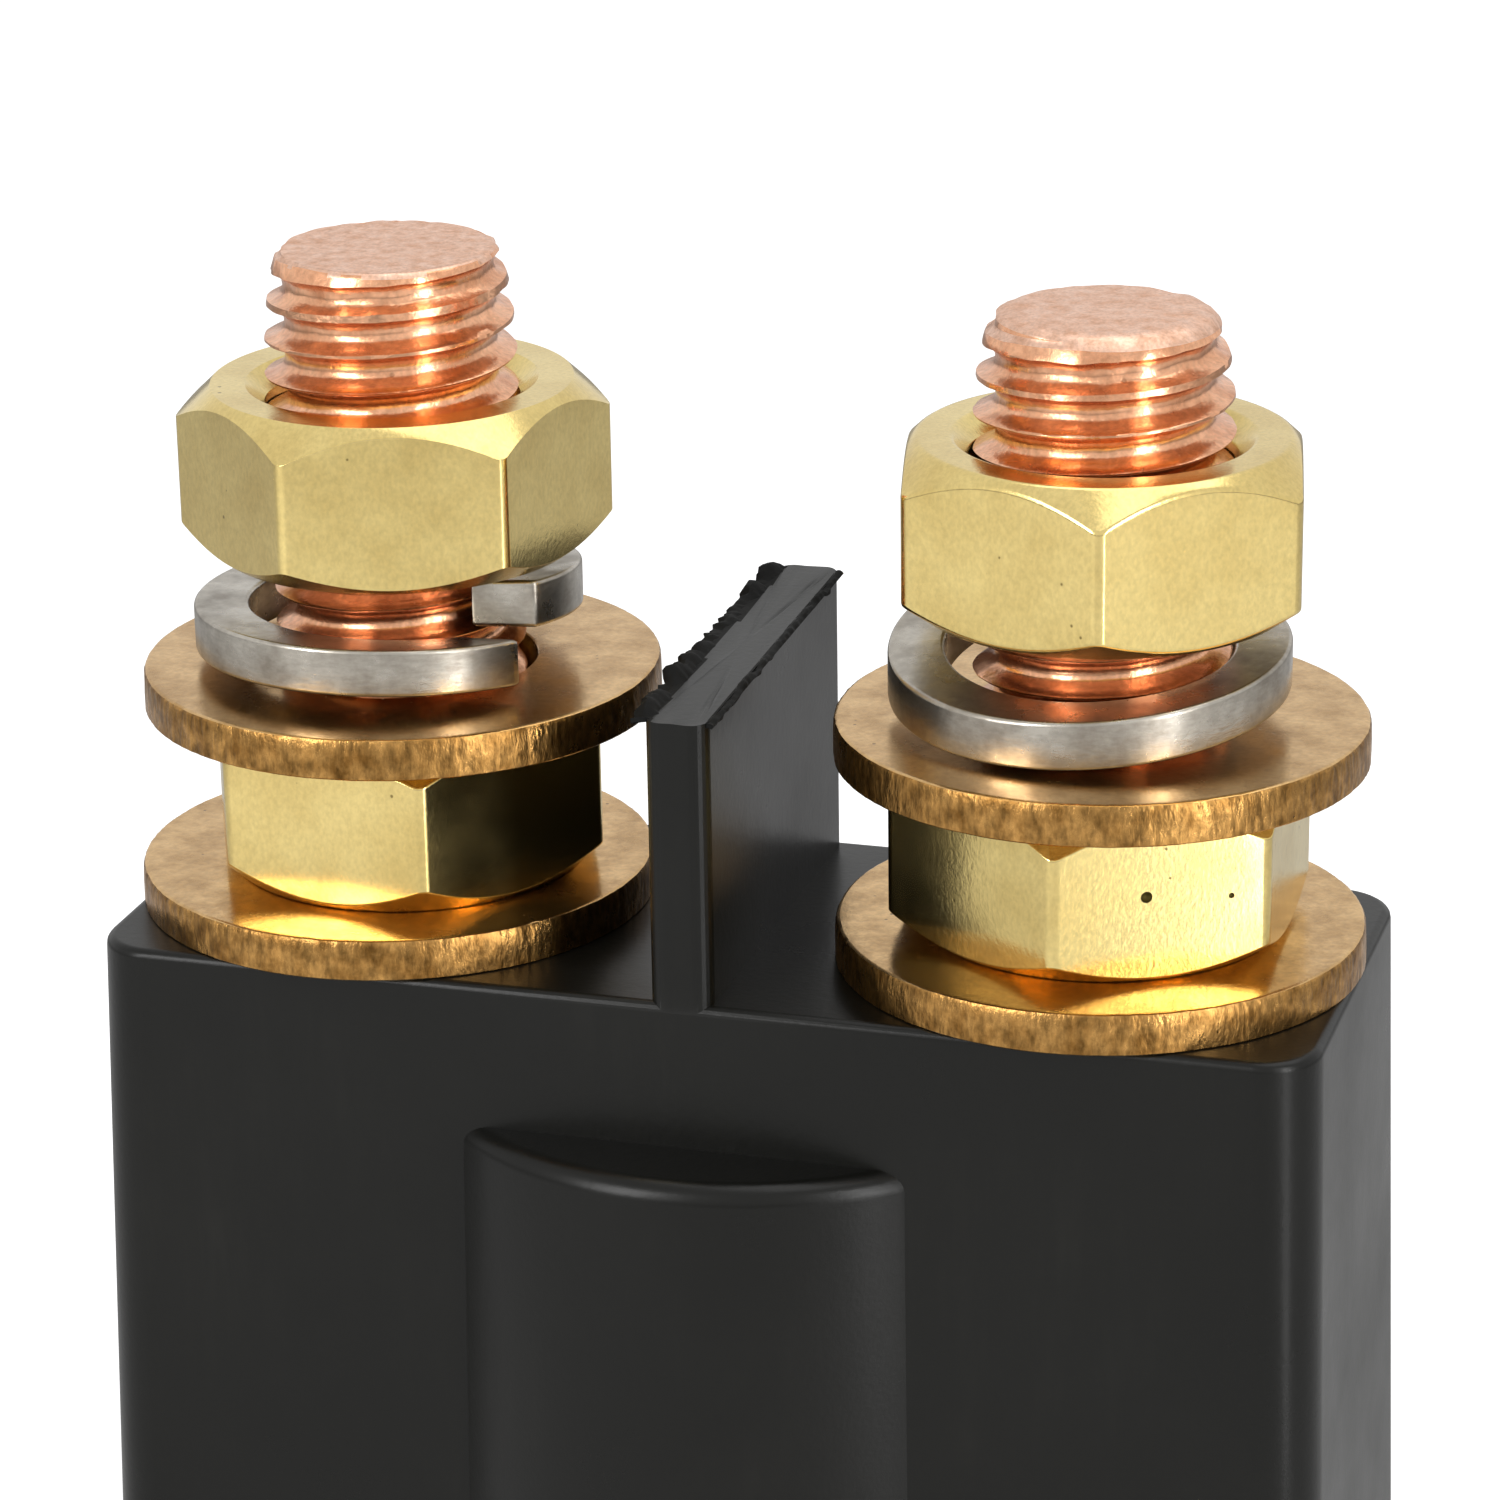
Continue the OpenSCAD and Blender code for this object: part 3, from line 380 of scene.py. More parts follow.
def dress(piece, material, body, node, smooth=32):
    """Finishes a piece: its material, its body, and the node that it stands for.

    Edges flatter than an angle in degrees are shaded smooth."""
    settle(piece)
    bpy.ops.object.shade_smooth_by_angle(angle=math.radians(smooth))
    modify(piece, "WEIGHTED_NORMAL", keep_sharp=True)
    piece.data.materials.clear()
    piece.data.materials.append(finish(material))
    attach(piece, body)
    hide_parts(node)


def paint(piece, material, test):
    """Gives a second finish to the faces of a piece that pass a test."""
    piece.data.materials.append(finish(material))
    for face in piece.data.polygons:
        if test(face.center, face.normal):
            face.material_index = len(piece.data.materials) - 1


def merged_copy(node, name):
    """A copy of a CAD node, with its loose triangles merged and its flat faces made whole."""
    only(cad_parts[node])
    bpy.ops.object.duplicate(linked=False)
    piece = named(name)
    for key in [key for key in piece.keys() if key.startswith("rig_")]:
        del piece[key]
    piece.parent = None
    piece.matrix_world = Matrix.Identity(4)
    edit(piece, "VERT", lambda co: True)
    bpy.ops.mesh.remove_doubles(threshold=WELD)
    bpy.ops.mesh.select_all(action="SELECT")
    bpy.ops.mesh.dissolve_limited(angle_limit=math.radians(1))
    close_edit()
    return piece


# Materials


def add_node(tree, kind, inputs=None, **settings):
    """Adds a node with its settings; an input is a value or the socket that feeds it."""
    made = tree.nodes.new("ShaderNode" + kind)
    for key, value in settings.items():
        setattr(made, key, value)
    for key, value in (inputs or {}).items():
        if isinstance(value, bpy.types.NodeSocket):
            tree.links.new(value, made.inputs[key])
        else:
            made.inputs[key].default_value = value
    return made


def finish_material(name):
    """An empty node material, its tree and its object coordinates."""
    material = bpy.data.materials.new(name)
    material.use_nodes = True
    tree = material.node_tree
    tree.nodes.clear()
    return material, tree, add_node(tree, "TexCoord").outputs["Object"]


def shade(tree, inputs):
    """The surface shader, linked to the material's output."""
    surface = add_node(tree, "BsdfPrincipled", inputs)
    add_node(tree, "OutputMaterial", {"Surface": surface.outputs["BSDF"]})


def rgba(colour):
    """A colour as a node's socket takes it, with nothing seen through."""
    return (*colour, 1.0)


def metal(name, clean_colour, dull_colour, roughness, grain=0.25, stretch=(1, 1, 1), cloud=4.0,
          film=0.5, contrast=0.12, relief=0.05, pits=0.0, pit_size=1.6):
    """A bare metal: a cloudy film, a fine grain that may run one way, and small pits, darkened
    inside with painted shade.

    Grain, cloud, relief and pit size are in millimetres; film, contrast and pits are shares."""
    material, tree, place = finish_material(name)
    clouds = add_node(tree, "TexNoise", {
        "Vector": place, "Scale": 1 / (cloud * MM), "Detail": 6.0, "Roughness": 0.62,
    }).outputs["Fac"]
    laid = add_node(tree, "Mapping", {"Vector": place, "Scale": stretch}).outputs["Vector"]
    grains = add_node(tree, "TexNoise", {
        "Vector": laid, "Scale": 1 / (grain * MM), "Detail": 4.0, "Roughness": 0.6,
    }).outputs["Fac"]
    blend = add_node(tree, "MapRange", {
        "Value": clouds, "From Min": 0.38, "From Max": 0.66, "To Min": 0.0, "To Max": film,
    }).outputs["Result"]
    base = add_node(tree, "Mix", {
        0: blend, 6: rgba(clean_colour), 7: rgba(dull_colour),
    }, data_type="RGBA").outputs[2]
    speck = add_node(tree, "MapRange", {
        "Value": grains, "From Min": 0.32, "From Max": 0.64,
        "To Min": 1 - contrast, "To Max": 1.06,
    }).outputs["Result"]
    base = add_node(tree, "VectorMath", {0: base, "Scale": speck}, operation="SCALE").outputs[0]
    height = grains
    if pits:
        cells = add_node(tree, "TexVoronoi", {
            "Vector": place, "Scale": 1 / (pit_size * MM), "Randomness": 1.0,
        }).outputs["Distance"]
        chosen = add_node(tree, "TexNoise", {
            "Vector": place, "Scale": 1 / (pit_size * 2.3 * MM), "Detail": 1.0,
        }).outputs["Fac"]
        reach = add_node(tree, "MapRange", {
            "Value": chosen, "From Min": 0.5, "From Max": 0.72, "To Min": 0.0, "To Max": 0.13,
        }).outputs["Result"]
        inside = add_node(tree, "Math", {0: reach, 1: cells}, operation="SUBTRACT").outputs[0]
        pit = add_node(tree, "MapRange", {
            "Value": inside, "From Min": 0.0, "From Max": 0.04, "To Min": 0.0, "To Max": pits,
        }).outputs["Result"]
        # Inside a pit the colour falls to 0.22 of the dull colour: painted shade at the bottom of
        # the pit
        base = add_node(tree, "Mix", {
            0: pit, 6: base, 7: rgba([c * 0.22 for c in dull_colour]),
        }, data_type="RGBA").outputs[2]
        height = add_node(tree, "Math", {0: grains, 1: pit}, operation="SUBTRACT").outputs[0]
    gloss = add_node(tree, "MapRange", {
        "Value": clouds, "From Min": 0.3, "From Max": 0.7,
        "To Min": roughness * 0.75, "To Max": roughness * 1.35,
    }).outputs["Result"]
    bump = add_node(tree, "Bump", {
        "Height": height, "Strength": 0.6, "Distance": relief * MM,
    }).outputs["Normal"]
    shade(tree, {"Base Color": base, "Metallic": 1.0, "Roughness": gloss, "Normal": bump})
    return material


def moulding(name, colour, scuffed, roughness, level, texture=0.35, relief=0.02, scuff=0.5):
    """A moulded plastic: a fine matt texture, pale scuffs and hair scratches that run anyhow."""
    material, tree, place = finish_material(name)
    fine = add_node(tree, "TexNoise", {
        "Vector": place, "Scale": 1 / (texture * MM), "Detail": 5.0, "Roughness": 0.65,
    }).outputs["Fac"]
    broad = add_node(tree, "TexNoise", {
        "Vector": place, "Scale": 1 / (14 * MM), "Detail": 6.0, "Roughness": 0.6,
    }).outputs["Fac"]
    streak_place = add_node(tree, "Mapping", {
        "Vector": place, "Scale": (1, 1, 0.12), "Rotation": (0.05, 0.12, 0),
    }).outputs["Vector"]
    streaks = add_node(tree, "TexNoise", {
        "Vector": streak_place, "Scale": 1 / (1.4 * MM), "Detail": 3.0, "Roughness": 0.7,
    }).outputs["Fac"]
    worn = add_node(tree, "MapRange", {
        "Value": broad, "From Min": 0.45, "From Max": 0.75, "To Min": 0.0, "To Max": scuff,
    }).outputs["Result"]
    drawn = add_node(tree, "MapRange", {
        "Value": streaks, "From Min": 0.5, "From Max": 0.8, "To Min": 0.25, "To Max": 1.0,
    }).outputs["Result"]
    amount = add_node(tree, "Math", {0: worn, 1: drawn}, operation="MULTIPLY").outputs[0]
    base = add_node(tree, "Mix", {
        0: amount, 6: rgba(colour), 7: rgba(scuffed),
    }, data_type="RGBA").outputs[2]
    gloss = add_node(tree, "MapRange", {
        "Value": broad, "From Min": 0.3, "From Max": 0.7,
        "To Min": roughness * 0.85, "To Max": roughness * 1.2,
    }).outputs["Result"]
    waves = add_node(tree, "Math", {0: streaks, 1: 0.35}, operation="MULTIPLY").outputs[0]
    height = add_node(tree, "Math", {0: fine, 1: waves}, operation="ADD").outputs[0]
    bump = add_node(tree, "Bump", {
        "Height": height, "Strength": 0.5, "Distance": relief * MM,
    }).outputs["Normal"]
    shade(tree, {
        "Base Color": base, "Roughness": gloss, "Normal": bump, "IOR": 1.5,
        "Specular IOR Level": level,
    })
    return material


def laminate(name, colour):
    """Paper-based phenolic board: brown resin with thin paler and darker sheets in its edge."""
    material, tree, place = finish_material(name)
    layered = add_node(tree, "Mapping", {
        "Vector": place, "Scale": (0.05, 0.05, 1.0),
    }).outputs["Vector"]
    sheets = add_node(tree, "TexNoise", {
        "Vector": layered, "Scale": 1 / (0.25 * MM), "Detail": 3.0,
    }).outputs["Fac"]
    base = add_node(tree, "Mix", {
        0: sheets, 6: rgba([c * 0.65 for c in colour]), 7: rgba([c * 1.25 for c in colour]),
    }, data_type="RGBA").outputs[2]
    bump = add_node(tree, "Bump", {
        "Height": sheets, "Strength": 0.4, "Distance": 0.03 * MM,
    }).outputs["Normal"]
    shade(tree, {"Base Color": base, "Roughness": 0.5, "Normal": bump, "IOR": 1.5})
    return material


FINISHES = {}


def finish(name):
    """A finish by its name, made once."""
    if name not in FINISHES:
        FINISHES[name] = FINISH_MAKERS[name](name, bpy.context.scene.relay_colours)
    return FINISHES[name]


FINISH_MAKERS = {
    # Milled from drawn hexagon bar: bright yellow, satin flats with fine marks and a few pits
    "Polished Brass": lambda name, c: metal(
        name, c.brass, c.brass_dull, 0.17, grain=0.22, stretch=(1, 1, 0.7), cloud=5,
        film=0.5, contrast=0.1, relief=0.012, pits=0.7, pit_size=0.9,
    ),
    # The same bar at the bottom of a pit: matt, and nearly black with painted shade
    "Tarnished Brass": lambda name, c: metal(
        name, linear(0x6E6234), linear(0x3A3418), 0.6, cloud=0.5, relief=0.02,
    ),
    # Rolled bronze sheet: brown-gold and glossy, faintly mottled, with small pits made dark by
    # painted shade
    "Rolled Bronze": lambda name, c: metal(
        name, c.bronze, c.bronze_dull, 0.22, grain=0.3, cloud=2.2,
        film=0.8, contrast=0.14, relief=0.015, pits=0.7, pit_size=1.0,
    ),
    # The same sheet where the punch tore it: browner, in short bright and dark upright flecks
    "Sheared Bronze": lambda name, c: metal(
        name, c.bronze_rim, c.bronze_rim_dull, 0.3, grain=0.36, stretch=(1, 1, 0.4),
        cloud=1.2, film=1.0, contrast=0.55, relief=0.12, pits=0.6, pit_size=0.9,
    ),
    # Rolled thread on drawn copper: orange-pink and bright, with a thin film in patches
    "Rolled Copper": lambda name, c: metal(
        name, c.copper, c.copper_dull, 0.22, grain=0.3, cloud=1.6,
        film=0.7, contrast=0.2, relief=0.03, pits=0.35, pit_size=1.3,
    ),
    # Sawn and dressed copper end: pale pink, matt, with fine brown specks
    "Sawn Copper": lambda name, c: metal(
        name, c.copper_cut, c.copper_cut_dull, 0.42, grain=0.16, cloud=0.7,
        film=0.6, contrast=0.2, relief=0.03, pits=0.3, pit_size=0.8,
    ),
    # Bare coiled steel bar: grey, drawn marks along the bar and a soft gloss
    "Spring Steel": lambda name, c: metal(
        name, c.steel, c.steel_dull, 0.28, grain=0.3, stretch=(0.5, 0.5, 1.6), cloud=3,
        film=0.8, relief=0.02,
    ),
    # Rolled sheet under bright zinc: pale grey with broad faint clouds
    "Zinc Plated Steel": lambda name, c: metal(
        name, c.zinc, c.zinc_dull, 0.34, grain=0.35, stretch=(0.15, 1, 1), cloud=9,
        film=0.7, relief=0.012,
    ),
    # Machined soft iron: darker grey, fine turning marks
    "Turned Iron": lambda name, c: metal(
        name, c.zinc_dull, c.steel_dull, 0.36, grain=0.2, stretch=(0.2, 0.2, 2), cloud=5,
        film=0.6, relief=0.012,
    ),
    # Fine silver pads brazed on copper: white, soft and a little matt
    "Contact Silver": lambda name, c: metal(
        name, c.silver, c.zinc_dull, 0.3, grain=0.3, cloud=2, film=0.4, relief=0.01,
    ),
    # Enamelled copper wire, wound in even layers: red-brown rings
    "Enamelled Wire": lambda name, c: metal(
        name, c.enamel, c.copper_dull, 0.35, grain=0.5, stretch=(0.05, 0.05, 1),
        cloud=6, film=0.5, relief=0.2,
    ),
    # Glass-filled moulding compound: charcoal, satin, with pale scuffs and hair scratches
    "Moulded Black Compound": lambda name, c: moulding(
        name, c.plastic, c.plastic_pale, 0.3, 0.27, scuff=0.3,
    ),
    # The same compound where it is torn: rough, and dead black partly from painted shade
    "Torn Compound": lambda name, c: moulding(
        name, linear(0x070706), linear(0x141412), 0.7, 0.15, relief=0.05, scuff=0.2,
    ),
    # Moulded black nylon: a little glossier and cleaner
    "Black Nylon": lambda name, c: moulding(
        name, c.nylon, c.plastic_pale, 0.42, 0.4, scuff=0.2,
    ),
    # Natural nylon of the bush and cap: milky white
    "Natural Nylon": lambda name, c: moulding(
        name, linear(0xDDD8C8), linear(0xC9C2AE), 0.4, 0.5, scuff=0.5,
    ),
    # Woven insulating tape with a rubbery face: dull black
    "Coil Tape": lambda name, c: moulding(
        name, linear(0x151516), linear(0x2A2A2B), 0.6, 0.3, texture=0.5, relief=0.05,
    ),
    # Rubber disc under the plunger: dead black
    "Stop Rubber": lambda name, c: moulding(
        name, linear(0x121212), linear(0x222222), 0.75, 0.25, relief=0.03,
    ),
    # Paper-based phenolic board: brown, satin, layered at its edge
    "Phenolic Board": lambda name, c: laminate(name, c.phenolic),
}


# Pieces


def hex_nut(name, across, height, ring, foot, top, bore, sink, edge, centre, turn):
    """A nut milled from hexagon bar, with its corners bevelled at two slopes.

    The ring is the flat on each end, the sink the bevel of the bore, the edge a rounding."""
    deselect()
    corner = across / math.sqrt(3)
    bpy.ops.mesh.primitive_cylinder_add(
        vertices=6, radius=corner, depth=height, location=Vector(centre) + AXIS * height / 2,
        rotation=(0, 0, turn - math.radians(30)),
    )
    nut = named(name)
    edit(nut, "EDGE", lambda a, b: (a - b).xy.length < MM * 0.01)
    bpy.ops.mesh.bevel(offset=edge, segments=3, affect="EDGES")
    close_edit()
    spare = 0.3 * MM
    out = corner + spare
    reach = out - ring / 2
    blank = turned("Blank", centre, [
        (bore, sink), (bore + sink, 0), (ring / 2, 0), (out, reach * math.tan(foot)),
        (out, height - reach * math.tan(top)), (ring / 2, height), (bore + sink, height),
        (bore, height - sink),
    ])
    combine(nut, blank, "INTERSECT")
    clean(nut, 0.01 * MM)
    return soften(nut, edge * 0.4, 2, 22)


# The two pits in the right lower nut: their places on its flat and their radii, in millimetres
PITS = (((21.23, -8.1, 99.25), 0.28), ((24.7, -6.02, 98.9), 0.14))


def terminal_x(side):
    """How far from the middle a terminal's axis stands."""
    low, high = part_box("stud_" + side)
    return (low.x + high.x) / 2


class RELAY_OT_nuts(bpy.types.Operator):
    """Make the four brass terminal nuts"""

    bl_idname = "relay.nuts"
    bl_label = "Terminal nuts"

    def execute(self, context):
        sizes = context.scene.relay_hardware
        for level, body in (("lower", "housing"), ("upper", "{}_nut")):
            for side in SIDES:
                node = f"{level}_nut_{side}"
                low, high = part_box(node)
                ends = [sizes.nut_foot, sizes.nut_top]
                if node == "lower_nut_left":
                    ends.reverse()  # this nut was fitted the other way up
                nut = hex_nut(
                    f"Nut.{level}.{side}", sizes.nut_across, high.z - low.z, sizes.nut_ring,
                    *ends, sizes.nut_bore, sizes.nut_sink, sizes.nut_edge,
                    (terminal_x(side), 0, low.z), getattr(sizes, f"{level}_turn_{side}"),
                )
                pits = PITS if node == "lower_nut_right" else ()
                for at, radius in pits:
                    self.pit(nut, at, radius)
                dress(nut, "Polished Brass", body.format(side), node)
                if pits:
                    # The faces inside each pit get a nearly black finish: painted shade in the pit
                    paint(nut, "Tarnished Brass", lambda at, normal: any(
                        (at - Vector(pit) * MM).length < radius * MM for pit, radius in pits
                    ))
        return {"FINISHED"}

    def pit(self, nut, at, radius):
        """A small pit in the metal, at a point on a flat; painted shade makes it dark afterwards.
        """
        deselect()
        bpy.ops.mesh.primitive_ico_sphere_add(
            subdivisions=3, radius=radius * MM, location=Vector(at) * MM
        )
        combine(nut, named("Pit"), "DIFFERENCE")


class RELAY_OT_flat_washers(bpy.types.Operator):
    """Make the four punched bronze washers"""

    bl_idname = "relay.flat_washers"
    bl_label = "Flat washers"

    def execute(self, context):
        sizes = context.scene.relay_hardware
        seed = 0
        for level, body in (("lower", "housing"), ("upper", "{}_stack")):
            for side in SIDES:
                node = f"{level}_washer_{side}"
                low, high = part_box(node)
                out, hole = (high.x - low.x) / 2, sizes.washer_hole / 2
                thick, edge = high.z - low.z, sizes.washer_edge
                burr = edge * 0.3
                centre = ((low.x + high.x) / 2, 0, low.z)
                washer = turned(f"Washer.{level}.{side}", centre, [
                    (hole, edge), (hole + burr, burr), (hole + edge, 0),
                    (out - burr, 0), (out, burr), (out, thick * 0.3), (out, thick * 0.55),
                    (out - burr * 0.5, thick - edge), (out - edge * 0.45, thick - edge * 0.35),
                    (out - edge * 1.3, thick), (hole + burr, thick), (hole, thick - burr),
                ], steps=360)
                seed += 7
                self.tear(settle(washer), centre, out, seed)
                dress(washer, "Rolled Bronze", body.format(side), node)
                paint(washer, "Sheared Bronze", lambda at, normal: (
                    (at - Vector(centre)).xy.length > out - MM and abs(normal.z) < 0.7
                ))
        return {"FINISHED"}

    def tear(self, washer, centre, out, seed):
        """Cuts the rim back in upright lines, as a punch tears it, and dents it here and there."""
        rim = 0.2 * MM
        line_wide, line_tall, line_depth = 0.32 * MM, 2.5 * MM, 0.03
        dent_wide, dent_tall, dent_depth = 1.6 * MM, 0.8 * MM, 0.05
        for point in washer.data.vertices:
            arm = point.co - Vector(centre)
            if arm.xy.length > out - rim:
                turn = math.atan2(arm.y, arm.x)
                around = Vector((math.cos(turn), math.sin(turn), 0)) * out
                line = noise.noise(around / line_wide + Vector((seed, 0, arm.z / line_tall)))
                dent = noise.noise(around / dent_wide + Vector((0, seed, arm.z / dent_tall)))
                back = line_depth * (1 + line) + dent_depth * max(dent, 0)
                point.co -= arm.normalized() * Vector((1, 1, 0)) * back * MM
        washer.data.update()


class RELAY_OT_spring_washers(bpy.types.Operator):
    """Make the two split spring washers"""

    bl_idname = "relay.spring_washers"
    bl_label = "Spring washers"

    def execute(self, context):
        sizes = context.scene.relay_hardware
        for side in SIDES:
            node = f"spring_washer_{side}"
            low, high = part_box(node)
            out = (high.x - low.x) / 2
            inner, tall = out - sizes.spring_bar, sizes.spring_bar_height
            gap = sizes.spring_split / (math.pi * (out + inner))
            centre = Vector(((low.x + high.x) / 2, 0, low.z))
            washer = wound(f"SpringWasher.{side}", centre, [
                (inner, 0), (out, 0), (out, tall), (inner, tall),
            ], True, -sizes.spring_rise / (1 - gap), -(1 - gap), steps=120)
            edit(washer, "VERT", lambda co: True)
            bpy.ops.mesh.fill_holes(sides=4)
            close_edit()
            washer.rotation_euler.z = getattr(sizes, "split_" + side) - math.pi * gap
            clean(settle(washer))
            self.lean(washer, centre, inner, out, sizes, side)
            soften(washer, sizes.spring_edge, 3, 40)
            dress(washer, "Spring Steel", f"{side}_stack", node, smooth=40)
        return {"FINISHED"}

    def lean(self, washer, centre, inner, out, sizes, side):
        """Skews the washer's cut, tips it on its stud and sets its lowest point at the node's."""
        toward = getattr(sizes, "lean_turn_" + side)
        slope = math.tan(getattr(sizes, "lean_" + side))
        points = washer.data.vertices
        for point in points:
            arm = point.co - centre
            share = (out - arm.xy.length) / (out - inner)
            arm.rotate(Matrix.Rotation(-sizes.split_skew * share, 3, "Z"))
            arm.z += slope * (arm.x * math.cos(toward) + arm.y * math.sin(toward))
            point.co = centre + arm
        drop = min(point.co.z for point in points) - centre.z
        washer.data.transform(Matrix.Translation(-AXIS * drop))


def thread_outline(radius, depth, pitch):
    """One pitch of a worn thread: a thin crest between two sloping sides and a wide round root."""
    root = radius - depth
    shares = (
        (0.0, 0.0), (0.15, 0.03), (0.25, 0.16), (0.36, 0.5), (0.44, 0.86), (0.48, 0.98),
        (0.52, 1.0), (0.56, 0.9), (0.64, 0.5), (0.75, 0.16), (0.85, 0.03), (1.0, 0.0),
    )
    return [(root + depth * rise, pitch * along) for along, rise in shares]


def threaded_bar(name, centre, low, high, radius, depth, pitch, steps):
    """A threaded bar between two heights, cut flat at both ends."""
    spare_turns = 3
    turns = math.ceil((high - low) / pitch) + spare_turns
    bar = wound(
        name, (centre[0], centre[1], low - spare_turns / 2 * pitch),
        thread_outline(radius, depth, pitch), False, pitch, turns, steps,
    )
    clean(settle(bar))
    rim = 0.001 * MM
    for level, direction in ((low, -1), (high, 1)):
        edit(bar, "VERT", lambda co: True)
        bpy.ops.mesh.bisect(
            plane_co=(centre[0], centre[1], level), plane_no=(0, 0, direction), clear_outer=True,
            threshold=rim / 10,
        )
        close_edit()
        edit(bar, "EDGE", lambda a, b: abs(a.z - level) < rim and abs(b.z - level) < rim)
        bpy.ops.mesh.edge_face_add()
        close_edit()
    return clean(bar)


class RELAY_OT_studs(bpy.types.Operator):
    """Make the two threaded copper studs with their square heads"""

    bl_idname = "relay.studs"
    bl_label = "Terminal studs"

    def execute(self, context):
        sizes = context.scene.relay_hardware
        body = context.scene.relay_body
        roof = body.top_level - body.roof
        # Each stud with its thread's turn in degrees and the seed of its roughness
        for side, phase, seed in (("left", 49, 11), ("right", 340, 23)):
            node = "stud_" + side
            low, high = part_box(node)
            x = terminal_x(side)
            stud = threaded_bar(
                f"Stud.{side}", (x, 0), roof - MM, high.z + MM, sizes.stud_radius,
                sizes.thread_depth, sizes.pitch, steps=96,
            )
            turn_about(stud, (x, 0), math.radians(phase))
            top, end, fade = high.z - low.z, sizes.stud_end, sizes.stud_fade
            flat = getattr(sizes, "end_flat_" + side)
            drop = getattr(sizes, "end_drop_" + side)
            grow, clear = sizes.stud_radius - end, sizes.stud_radius * 1.1
            blank = turned("Blank", (x, 0, low.z), [
                (0, 0), (clear, 0), (clear, top - 1.2 * fade),
                (end + grow, top - fade), (end + grow * 0.8, top - fade * 0.63),
                (end + grow * 0.4, top - fade * 0.26), (end, top - drop),
                (end - (end - flat) * 0.35, top - drop * 0.35), (flat, top), (0, top),
            ], closed=False, steps=96)
            combine(stud, blank, "INTERSECT")
            deselect()
            wide, thick = high.x - low.x, roof - low.z
            bpy.ops.mesh.primitive_cube_add(size=1, location=(x, 0, low.z + thick / 2))
            head = named("Head")
            head.scale = (wide, wide, thick)
            settle(head)
            head_edge = 0.4 * MM
            edit(head, "EDGE", lambda a, b: True)
            bpy.ops.mesh.bevel(offset=head_edge, segments=2, affect="EDGES")
            close_edit()
            combine(stud, head, "UNION")
            clean(stud, 0.004 * MM)
            # The thread is a little worn all over, and its end more so
            roughen(stud, 0.9 * MM, 0.04 * MM, seed, lambda co: co.z > body.top_level)
            roughen(stud, 1.1 * MM, 0.1 * MM, seed + 5, lambda co: co.z > high.z - 2 * MM)
            keep_below(stud, high.z)
            dress(stud, "Rolled Copper", "housing", node, smooth=50)
            paint(stud, "Sawn Copper", lambda at, normal: (
                at.z > high.z - MM and normal.z > 0.5
            ))
        return {"FINISHED"}


def turn_about(piece, centre, turn):
    """Turns a settled piece about an upright axis."""
    only(piece)
    place = Matrix.Translation((centre[0], centre[1], 0))
    piece.data.transform(place @ Matrix.Rotation(turn, 4, "Z") @ place.inverted())


def keep_below(piece, level):
    """Keeps a roughened piece inside the height of the node that it stands for."""
    for point in piece.data.vertices:
        point.co.z = min(point.co.z, level)


def block(name, low, high, vertical=0.0, segments=8):
    """A block between two corners, with its upright edges rounded."""
    deselect()
    low, high = Vector(low), Vector(high)
    bpy.ops.mesh.primitive_cube_add(size=1, location=(low + high) / 2)
    piece = named(name)
    piece.scale = high - low
    settle(piece)
    if vertical:
        edit(piece, "EDGE", lambda a, b: (a - b).xy.length < 0.001 * MM)
        bpy.ops.mesh.bevel(offset=vertical, segments=segments, affect="EDGES")
        close_edit()
    return piece


def taper(piece, low, high, factor):
    """Widens a block by the factor at its foot, and less toward its head."""
    for point in piece.data.vertices:
        share = (high - point.co.z) / (high - low)
        point.co.x += math.copysign(factor * share, point.co.x)
        point.co.y += math.copysign(factor * share, point.co.y)
    piece.data.update()


# The barrier's cut below the highest point of the flash that it left, and its rise to the back
CUT_BELOW = 0.2 * MM
CUT_RISE = 0.5 * MM


